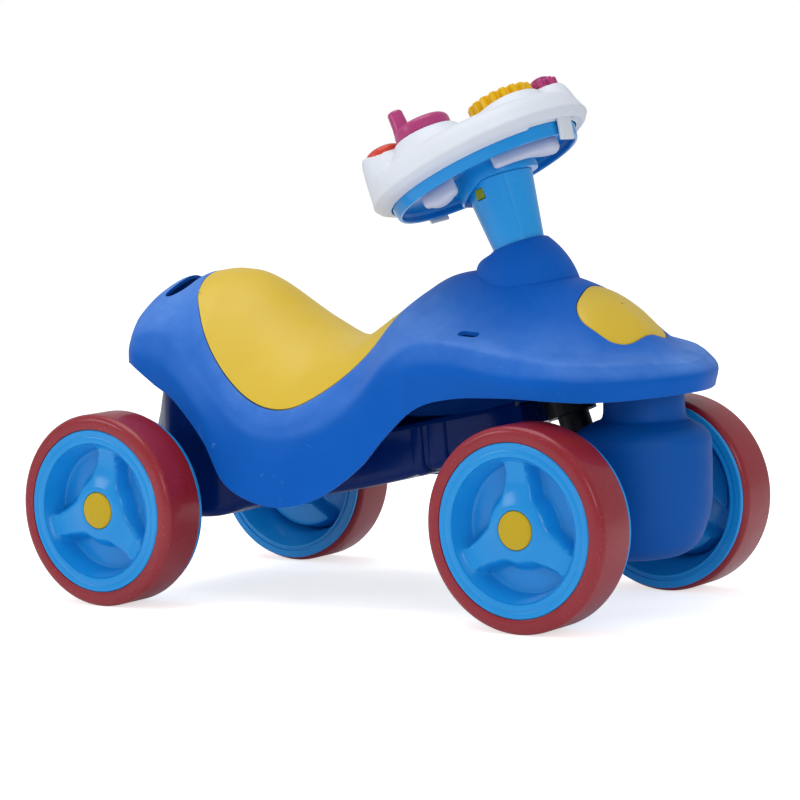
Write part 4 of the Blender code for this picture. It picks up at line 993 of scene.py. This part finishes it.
def make_column(steps=216):
    angles = [angle - math.pi for angle in full_turn(steps)]
    rows = []
    for height in (COLUMN_TOP, COLUMN_LOW):
        rows.append([STEER_PLACE @ ring_point(COLUMN_BORE, angle, height) for angle in angles])
    for k in range(31):
        height = COLUMN_LOW + (COLUMN_TOP - COLUMN_LOW) * k / 30.0
        row = []
        for angle in angles:
            radius = column_radius(height) + column_ridges(angle, height)
            row.append(STEER_PLACE @ ring_point(radius, angle, height))
        rows.append(row)
    rows.append(rows[0])
    sleeve = sheet(rows, ring=True)
    column = show(sleeve, "column_sleeve", COLUMN_LIT_BLUE, "steering", "sky_blue", ["column_cover"])
    low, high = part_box("lock_tab")
    middle = (Vector(low) + Vector(high)) / 2.0
    bm = bmesh.new()
    bmesh.ops.create_cube(bm, size=1.0)
    bmesh.ops.scale(bm, vec=CATCH_WINDOW, verts=bm.verts[:])
    bm.transform(Matrix.Translation(middle) @ Matrix.Rotation(-STEER_TILT, 4, "Y"))
    cut(column, bm)
    soften(column)


make_column()


# Console base: the light-blue dish under the steering wheel's white shell, with a ring wall to hold
# and a cup in the middle that seats on the column

CONSOLE_TILT = math.radians(26.0)
CONSOLE_PLACE = Matrix.Translation((0.0916, 0.0, 0.3817)) @ Matrix.Rotation(-CONSOLE_TILT, 4, "Y")
SHELL_LOW = -0.008
DISH_TOP_RADIUS = 0.0866
DISH_LOW_RADIUS = 0.0835
DISH_LOW = -0.021
DISH_WALL = 0.003
CUP_RADIUS = 0.036
CONSOLE_STEPS = 160
NOTCH_HEIGHT = 0.0022
SIDE_LEAN = math.tan(math.radians(2.6))
# The cup's rings from the column's top outwards, and how far above it each lies
CUP_FOOT = ((COLUMN_BORE, 0.003), (0.0300, 0.0), (0.0342, 0.0), (0.0356, 0.0005), (CUP_RADIUS, 0.0018))
# How far each ring above them flares out, and its share of the way up to the plate
CUP_FLARE = ((0.0, 0.5), (0.0002, 0.78), (0.0012, 0.92), (0.0036, 1.0))
# Rings wider than this reach further down behind the column, by this drop
CUP_DROPPED = 0.0335
CUP_REAR_DROP = 0.013


def notch(angle):
    """How much higher the ring wall stands round a part of the wheel."""
    bearing = (math.degrees(angle) + 180.0) % 360.0 - 180.0
    return NOTCH_HEIGHT * smooth_step(-27.0, -25.5, bearing) * (1.0 - smooth_step(60.0, 62.0, bearing))


def polar(radius, angle, height):
    """A point of the shell or dish, which hang a little lower on the rider's right."""
    left = radius * math.sin(angle)
    return CONSOLE_PLACE @ Vector((radius * math.cos(angle), left, height + SIDE_LEAN * left))


def console_rows(line, notched):
    """Rings of the shell or dish, of which some follow the notch in the ring wall."""
    rows = []
    for k, (radius, height) in enumerate(line):
        lift = 1.0 if k in notched else 0.0
        rows.append([polar(radius, a, height + lift * notch(a)) for a in full_turn(CONSOLE_STEPS)])
    return rows


def make_dish():
    top = SHELL_LOW - 0.0003
    low = DISH_LOW
    edge = DISH_LOW_RADIUS
    inner = DISH_TOP_RADIUS - DISH_WALL
    under = top - DISH_WALL
    line = [(0.0002, top), (DISH_TOP_RADIUS - 0.002, top), (DISH_TOP_RADIUS, top - 0.0002)]
    line += [(edge + 0.0004, low + 0.0014), (edge - 0.0004, low + 0.0002), (edge - 0.0015, low)]
    line += [(edge - 0.0026, low + 0.0003), (edge - DISH_WALL, low + 0.0014)]
    line += [(inner - 0.0010, under - 0.0035), (inner - 0.0022, under - 0.0010), (inner - 0.0050, under)]
    line += [(0.062, under), (CUP_RADIUS + 0.004, under), (0.0002, under)]
    dish = sheet(console_rows(line, (1, 2)), ring=True)
    show(dish, "console_dish", SKY_BLUE, "steering", "sky_blue", ["wheel_base"])


def cup_row(radius, height, steps):
    row = []
    for angle in full_turn(steps):
        behind = smooth_step(0.35, -0.75, math.cos(angle)) if radius > CUP_DROPPED else 0.0
        row.append(STEER_PLACE @ ring_point(radius, angle, height - CUP_REAR_DROP * behind))
    return row


def make_cup(steps=96):
    """The cup's foot meets the column square, and its top is cut by the tilted plate."""
    normal = (CONSOLE_PLACE.to_3x3() @ Vector((0.0, 0.0, 1.0))).normalized()
    plate = CONSOLE_PLACE @ Vector((0.0, 0.0, SHELL_LOW - DISH_WALL))
    foot = COLUMN_TOP + 0.0003
    rows = [cup_row(radius, foot + rise, steps) for radius, rise in CUP_FOOT]
    wall = rows[-1]
    for flare, share in CUP_FLARE:
        row = []
        for point in wall:
            reach = (plate - point).dot(normal) / STEER_AXIS.dot(normal)
            centre = FRONT_AXLE + STEER_AXIS * (point - FRONT_AXLE).dot(STEER_AXIS)
            out = (point - centre).normalized()
            row.append(point + STEER_AXIS * max(reach, 0.001) * share + out * flare)
        rows.append(row)
    show(sheet(rows, ring=True), "console_cup", SKY_BLUE, "steering", "sky_blue")


make_dish()
make_cup()


# Console shell: the white top of the steering wheel, one thin moulding whose low bosses carry the
# crank, the gears and the horn button. Two hooks snap over the dish's ring wall.

# Off-white polypropylene with a satin skin
SHELL_WHITE = plastic("shell_white_satin", "DADFE8", "E6EAF0", 0.38, 0.08, 0.40)

CONSOLE_RADIUS = 0.100
SKIRT_LOW = -0.0115
HOOK_RADIUS = 0.0880
HOOK_TOP = -0.0040
HOOK_THICKNESS = 0.0030
HOOK_WIDTH = 0.0200
HOOK_ROUND = 0.0011
HOOK_LEAN = math.radians(15.0)
GEAR_BOSS_SLOPE = 5.0
BUTTON_BOSS_RISE = 4.5
GEAR_PITCH = 0.0096
BIG_TEETH = 18
SMALL_TEETH = 8
CRANK = (-13.5, -43.0, 29.7)
BIG_GEAR = (33.0, 15.5, 31.8)
GEAR_ANGLE = math.radians(51.7)
BUTTON = (-57.0, -46.0, 31.0)


def pitch_radius(teeth):
    return teeth * GEAR_PITCH / (2.0 * math.pi)


def small_gear_place():
    x, y, height = BIG_GEAR
    reach = (pitch_radius(BIG_TEETH) + pitch_radius(SMALL_TEETH)) * 1000.0
    return (x + reach * math.cos(GEAR_ANGLE), y + reach * math.sin(GEAR_ANGLE), height)


# Each boss: its middle, the radius of its flat top and how far its side runs out
BOSSES = (
    (CRANK, 0.0262, 0.012),
    (BIG_GEAR, 0.0304, 0.012),
    (small_gear_place(), 0.0156, 0.010),
    (BUTTON, 0.0200, 0.008),
)
SHELL_EDGE = (
    (0.0000, 0.0200),
    (0.0600, 0.0200),
    (0.0700, 0.0196),
    (0.0780, 0.0188),
    (0.0860, 0.0170),
    (0.0915, 0.0140),
    (0.0955, 0.0090),
    (0.0985, 0.0012),
)


def edge_height(radius):
    for (r0, h0), (r1, h1) in zip(SHELL_EDGE, SHELL_EDGE[1:]):
        if radius <= r1:
            share = (radius - r0) / (r1 - r0)
            return h0 + (h1 - h0) * share
    return SHELL_EDGE[-1][1]


def soft_fall(low, high, value):
    """1 below low and 0 above high."""
    return 1.0 - smooth_step(low, high, value)


def shell_top(radius, angle):
    forward, left = radius * math.cos(angle), radius * math.sin(angle)
    plain = edge_height(radius)
    made = plain
    for (x, y, top), flat, run in BOSSES:
        far = math.hypot(forward - mm(x), left - mm(y))
        lean = SIDE_LEAN * left
        if (x, y) == BIG_GEAR[:2]:
            lean += mm(GEAR_BOSS_SLOPE) * soft_fall(-flat, flat, forward - mm(x))
        if (x, y) == BUTTON[:2]:
            lean -= mm(BUTTON_BOSS_RISE) * soft_fall(-0.012, 0.008, forward - mm(x))
        made = max(made, plain + (mm(top) - lean - plain) * soft_fall(flat, flat + run, far))
    return made


def make_shell():
    angles = full_turn(CONSOLE_STEPS)
    radii = [0.0002] + [0.0985 * k / 52.0 for k in range(1, 53)]
    rows = [[polar(radius, angle, shell_top(radius, angle)) for angle in angles] for radius in radii]
    edge = [(0.0994, -0.0006), (0.0999, -0.0020), (CONSOLE_RADIUS, -0.0030), (0.0997, -0.0038)]
    edge += [(0.0990, -0.0044), (0.0970, -0.0074), (0.0930, -0.0098), (0.0888, -0.0110)]
    edge += [(0.0880, SKIRT_LOW), (0.0870, SKIRT_LOW), (0.0870, -0.0100), (0.0950, -0.0050)]
    edge += [(0.0966, -0.0020), (0.0935, 0.0050), (0.0840, 0.0130), (0.0600, 0.0165), (0.0002, 0.0165)]
    shell = sheet(rows + console_rows(edge, (7, 8, 9)), ring=True)
    show(shell, "console_shell", SHELL_WHITE, "steering", "shell_white", ["wheel_shell"])


def make_hook(name, degrees, length):
    """A flat hook from the shell's edge down over the ring wall, with rounded corners."""
    angle = math.radians(degrees)
    bm = bmesh.new()
    bmesh.ops.create_cube(bm, size=1.0)
    bmesh.ops.scale(bm, vec=(HOOK_THICKNESS, HOOK_WIDTH, length), verts=bm.verts[:])
    bmesh.ops.bevel(
        bm,
        geom=bm.edges[:],
        offset=HOOK_ROUND,
        segments=3,
        profile=0.5,
        affect="EDGES",
        material=-1,
        clamp_overlap=True,
    )
    lean = Matrix.Rotation(HOOK_LEAN, 4, "Y")
    height = HOOK_TOP - length / 2.0 + SIDE_LEAN * HOOK_RADIUS * math.sin(angle)
    middle = Matrix.Translation((HOOK_RADIUS, 0.0, height))
    bm.transform(CONSOLE_PLACE @ Matrix.Rotation(angle, 4, "Z") @ middle @ lean)
    show(bm, name, SHELL_WHITE, "steering", "shell_white")


make_shell()
make_hook("shell_hook_front", 1.5, 0.0235)
make_hook("shell_hook_rear", 160.0, 0.0200)


# Palm bars: two short lilac-white grips moulded under the dish, where the rider's palms hold the
# wheel. The front one is fatter at one end.

# The same plastic with a lilac tinge
GRIP_WHITE = plastic("grip_white_satin", "CBD0E2", "D8DCEA", 0.36, 0.08, 0.40)

# Each bar's ends in the console's plane, how far it hangs down, and its radii from end to end
GRIPS = (
    ("palm_bar_front", "grip_bar_front", (36, -36), (66, 5), 6.5, (4.0, 4.0, 4.2, 4.8, 6.4, 7.2)),
    ("palm_bar_rear", "grip_bar_rear", (-27, -58), (-6, -52), 8.0, (5.0, 6.4, 7.0, 7.0, 6.4, 5.4)),
)


def grip_row(at, across, radius, top, hang, steps, full=None):
    """One ring of a bar: round below, and drawn up to the dish above."""
    depth = (full or radius) * 0.9
    middle = top - hang - depth
    row = []
    for angle in full_turn(steps):
        reach = (hang + depth) if math.sin(angle) > 0.0 else radius
        height = middle + 0.9 * reach * math.sin(angle)
        place = at + across * radius * math.cos(angle) + Vector((0.0, 0.0, height))
        place.z += SIDE_LEAN * place.y
        row.append(CONSOLE_PLACE @ place)
    return row


def grip_end(at, way, across, radius, top, hang, steps):
    """The rings that round a bar off, from its last full ring outwards."""
    made = []
    for k in range(1, 6):
        angle = math.radians(90.0 * k / 5.0)
        size = max(radius * math.cos(angle), 0.0001)
        place = at + way * radius * math.sin(angle)
        made.append(grip_row(place, across, size, top, hang, steps, radius))
    return made


def make_grip(name, node, start, end, hang, radii, steps=32):
    first, last = mm(*start, 0.0), mm(*end, 0.0)
    along = (last - first).normalized()
    across = Vector((0.0, 0.0, 1.0)).cross(along)
    shape = (SHELL_LOW - 0.0036, mm(hang), steps)
    spread = [Vector(pair) for pair in zip((0.0, 0.2, 0.4, 0.6, 0.8, 1.0), radii)]
    rows = []
    for share, radius in finer(spread, 4):
        rows.append(grip_row(first.lerp(last, share), across, mm(radius), *shape))
    rows[:0] = reversed(grip_end(first, -along, across, mm(radii[0]), *shape))
    rows += grip_end(last, along, across, mm(radii[-1]), *shape)
    show(sheet(rows, ring=True), name, GRIP_WHITE, "steering", "shell_white", [node])


for grip in GRIPS:
    make_grip(*grip)


# Crank, horn button and gears: four bright play pieces, moulded and glossy, that turn or press on
# pins in the shell's bosses

# Glossy coloured polypropylene of the four play pieces
MAGENTA = plastic("magenta_gloss", "AE3A74", "C04C86", 0.30, 0.05, 0.35, coat=0.15)
HORN_RED = plastic("horn_red_gloss", "D0402E", "DA5240", 0.30, 0.05, 0.35, coat=0.15)
GEAR_YELLOW = plastic("gear_yellow_gloss", "E8B40A", "F0C428", 0.30, 0.05, 0.35, coat=0.15)

KNOB_RADIUS = 0.0248
KNOB_THICKNESS = 0.012
PEG_RADIUS = 0.0066
PEG_ANGLE = math.radians(219.0)
PEG_OFFSET = KNOB_RADIUS - PEG_RADIUS * 1.15 - 0.0010
PEG_HEIGHT = 0.0168
BUTTON_RADIUS = 0.0165
GEAR_THICKNESS = 0.008
GEAR_REACH = 0.0045
PIN_BORE = 0.0043
PIECE_GAP = 0.0003


def on_console(forward, left, height):
    return CONSOLE_PLACE @ Matrix.Translation(mm(forward, left, height))


def make_crank():
    knob = (
        (PIN_BORE, 0.0),
        (KNOB_RADIUS - 0.0010, 0.0),
        (KNOB_RADIUS, 0.0010),
        (KNOB_RADIUS, 0.0062),
        (KNOB_RADIUS - 0.0004, 0.0082),
        (KNOB_RADIUS - 0.0016, 0.0100),
        (KNOB_RADIUS - 0.0034, 0.0113),
        (KNOB_RADIUS - 0.0056, 0.0119),
        (KNOB_RADIUS - 0.0080, KNOB_THICKNESS),
        (PIN_BORE, KNOB_THICKNESS),
        (PIN_BORE, 0.0),
    )
    place = on_console(*CRANK) @ Matrix.Translation((0.0, 0.0, PIECE_GAP))
    turned("crank_disc", knob, place, MAGENTA, "crank", "magenta", ["crank_knob"])
    foot = 0.0030
    top = KNOB_THICKNESS + PEG_HEIGHT
    peg = (
        (0.0078, foot),
        (0.0078, KNOB_THICKNESS - 0.0010),
        (0.0072, KNOB_THICKNESS + 0.0016),
        (PEG_RADIUS, top - 0.0024),
        (PEG_RADIUS - 0.0007, top - 0.0009),
        (PEG_RADIUS - 0.0022, top - 0.0001),
        (0.0001, top),
    )
    offset = Matrix.Rotation(PEG_ANGLE, 4, "Z") @ Matrix.Translation((PEG_OFFSET, 0.0, 0.0))
    turned("crank_peg", peg, place @ offset, MAGENTA, "crank", "magenta", steps=64)


def make_button():
    top = mm(BUTTON[2]) + 0.0095
    profile = (
        (0.0001, top),
        (0.0060, top - 0.0003),
        (0.0110, top - 0.0013),
        (0.0142, top - 0.0028),
        (0.0158, top - 0.0044),
        (BUTTON_RADIUS, top - 0.0062),
        (BUTTON_RADIUS, mm(BUTTON[2]) - 0.0055),
        (0.0001, mm(BUTTON[2]) - 0.0055),
    )
    place = on_console(BUTTON[0], BUTTON[1], 0.0)
    turned("horn_cap", profile, place, HORN_RED, "horn", "horn_red", ["horn_button"])


def make_gear(name, node, at, teeth, phase, material, body, slot):
    """A gear with round teeth and softened edges."""
    radius = pitch_radius(teeth)
    tip, root = radius + 0.0018, radius - 0.0024
    low, top = -GEAR_REACH, GEAR_THICKNESS
    rims = ((-0.0008, low), (0.0, low + 0.0008), (0.0, 0.0066), (-0.0006, 0.0076), (-0.0016, top))
    angles = [phase + angle for angle in full_turn(teeth * 16)]
    outline = []
    for angle in angles:
        lobe = 0.5 + 0.5 * math.cos(teeth * (angle - phase))
        outline.append(root + (tip - root) * smooth_step(0.10, 0.80, lobe))
    bore = [PIN_BORE] * len(angles)
    layers = [(bore, low)]
    layers += [([far + inset for far in outline], height) for inset, height in rims]
    layers += [(bore, top), (bore, low)]
    place = on_console(*at) @ Matrix.Translation((0.0, 0.0, PIECE_GAP))
    rows = []
    for reaches, height in layers:
        rows.append([place @ ring_point(far, angle, height) for far, angle in zip(reaches, angles)])
    show(sheet(rows, ring=True), name, material, body, slot, [node])


make_crank()
make_button()
wheel = (BIG_GEAR, BIG_TEETH, GEAR_ANGLE)
pinion = (small_gear_place(), SMALL_TEETH, GEAR_ANGLE + math.pi + math.pi / SMALL_TEETH)
make_gear("gear_wheel", "big_gear", *wheel, GEAR_YELLOW, "driving_gear", "gear_yellow")
make_gear("gear_pinion", "small_gear", *pinion, MAGENTA, "driven_gear", "magenta")


# Bearing, steering tube, horn switch, catch, pins, axles, lock rings and screws: small parts whose
# CAD shape is right as it is, and which take the finish of the real ones


def metal(name, base, roughness):
    """Zinc-plated steel with a drawn grain, coarser than the real one so that it shows."""
    made, tree, shader, where = new_material(name)
    place = where["Object"]
    grain = noise(tree, place, 300.0, 2.0, stretch=(1.0, 0.1, 1.0))
    clouds = ramp(tree, noise(tree, place, 60.0), 0.3, 0.7, 0.0, 0.5)
    colour = blend_colour(tree, clouds, linear(base), linear("8F9296"))
    tree.links.new(colour, shader.inputs["Base Color"])
    rough = ramp(tree, grain, 0.3, 0.7, roughness - 0.08, roughness + 0.1)
    tree.links.new(rough, shader.inputs["Roughness"])
    shader.inputs["Metallic"].default_value = 1.0
    bump = add(tree, "ShaderNodeBump", [("Height", grain)], Strength=0.15, Distance=0.0002)
    tree.links.new(bump.outputs["Normal"], shader.inputs["Normal"])
    return made


# Black satin nylon of the bearing and the tube
FRAME_BLACK = plastic("frame_black_satin", "0C0D10", "1A1C20", 0.42, 0.15, 0.40)
# Yellow-green catch
TAB_GREEN = plastic("tab_green_gloss", "8E9626", "A2A838", 0.35, 0.08, 0.40)
# Zinc-plated axles, lock rings and screws
STEEL = metal("zinc_plated_steel", "B9BBBE", 0.30)

KEPT = {
    "steering_bearing": FRAME_BLACK,
    "steering_tube": FRAME_BLACK,
    "horn_switch": FRAME_BLACK,
    "lock_tab": TAB_GREEN,
    "rear_axle": STEEL,
    "front_axle": STEEL,
    "crank_pin": MAGENTA,
    "big_gear_pin": GEAR_YELLOW,
    "small_gear_pin": MAGENTA,
}
for name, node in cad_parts.items():
    fastener = name.startswith("chassis_screw") or name.endswith("axle_lock")
    material = STEEL if fastener else KEPT.get(name)
    if material:
        for slot in node.material_slots:
            slot.material = material


# Studio: a white floor that keeps the car's shadow, three softboxes, a pale fill from all round, and
# the camera at the photograph's viewing angle

# Where each softbox hangs, what it points at, its size and its power
SOFTBOXES = (
    ("overhead_softbox", (-0.3, -0.2, 2.2), (0.0, 0.0, 0.15), 1.6, 22.0),
    ("front_softbox", (1.9, -1.6, 1.1), (0.1, 0.0, 0.15), 0.9, 9.0),
    ("side_softbox", (-1.4, -1.7, 1.0), (-0.1, 0.0, 0.15), 0.7, 6.5),
)
FLOOR_SIZE = 20.0
# How bright the floor is to the camera, and to the light on the car
FLOOR_SEEN = 0.66
FLOOR_GLOW = 0.10
FILL_STRENGTH = 0.52
WHITE = (1.0, 1.0, 1.0, 1.0)


def make_floor():
    made, tree, shader, where = new_material("white_floor")
    clouds = ramp(tree, noise(tree, where["Object"], 3.0), 0.3, 0.7, 0.0, 0.2)
    colour = blend_colour(tree, clouds, linear("FFFFFF"), linear("FCFCFC"))
    tree.links.new(colour, shader.inputs["Base Color"])
    shader.inputs["Roughness"].default_value = 0.9
    shader.inputs["Emission Color"].default_value = WHITE
    seen = add(tree, "ShaderNodeLightPath").outputs["Is Camera Ray"]
    tree.links.new(ramp(tree, seen, 0.0, 1.0, FLOOR_GLOW, FLOOR_SEEN), shader.inputs["Emission Strength"])
    bm = bmesh.new()
    bmesh.ops.create_grid(bm, x_segments=2, y_segments=2, size=FLOOR_SIZE)
    floor = mesh_object("floor", bm)
    floor.data.materials.append(made)


def softbox(name, place, target, size, power):
    data = bpy.data.lights.new(name, "AREA")
    data.energy = power
    data.size = size
    lamp = link(name, data)
    lamp.location = place
    lamp.rotation_euler = (Vector(target) - Vector(place)).to_track_quat("-Z", "Y").to_euler()


def set_world():
    world = bpy.data.worlds.new("studio")
    bpy.context.scene.world = world
    world.use_nodes = True
    tree = world.node_tree
    tree.nodes.clear()
    path = add(tree, "ShaderNodeLightPath")
    seen = add(tree, "ShaderNodeBackground", Strength=1.0)
    seen.inputs["Color"].default_value = WHITE
    fill = add(tree, "ShaderNodeBackground", Strength=FILL_STRENGTH)
    fill.inputs["Color"].default_value = (0.94, 0.97, 1.0, 1.0)
    mix = tree.nodes.new("ShaderNodeMixShader")
    tree.links.new(path.outputs["Is Camera Ray"], mix.inputs[0])
    tree.links.new(fill.outputs[0], mix.inputs[1])
    tree.links.new(seen.outputs[0], mix.inputs[2])
    out = tree.nodes.new("ShaderNodeOutputWorld")
    tree.links.new(mix.outputs[0], out.inputs["Surface"])


CAMERA_TARGET = Vector((-0.0013, 0.0, 0.1717))
CAMERA_BACK = Vector((0.58054, -0.80848, 0.09666))
CAMERA_RIGHT = Vector((0.81388, 0.57969, -0.03957))
CAMERA_UP = Vector((-0.02404, 0.10165, 0.99453))
CAMERA_DISTANCE = 2.5997
PHOTO_WIDTH = 800.0
FOCAL_PIXELS = 2964.45


def set_camera():
    data = bpy.data.cameras.new("camera")
    data.sensor_width = 36.0
    data.lens = FOCAL_PIXELS * data.sensor_width / PHOTO_WIDTH
    camera = link("camera", data)
    axes = Matrix((CAMERA_RIGHT, CAMERA_UP, CAMERA_BACK)).transposed()
    place = Matrix.Translation(CAMERA_TARGET + CAMERA_BACK * CAMERA_DISTANCE)
    camera.matrix_world = place @ axes.to_4x4()
    bpy.context.scene.camera = camera


make_floor()
set_world()
set_camera()
for box in SOFTBOXES:
    softbox(*box)
bpy.context.scene.view_settings.view_transform = "Standard"
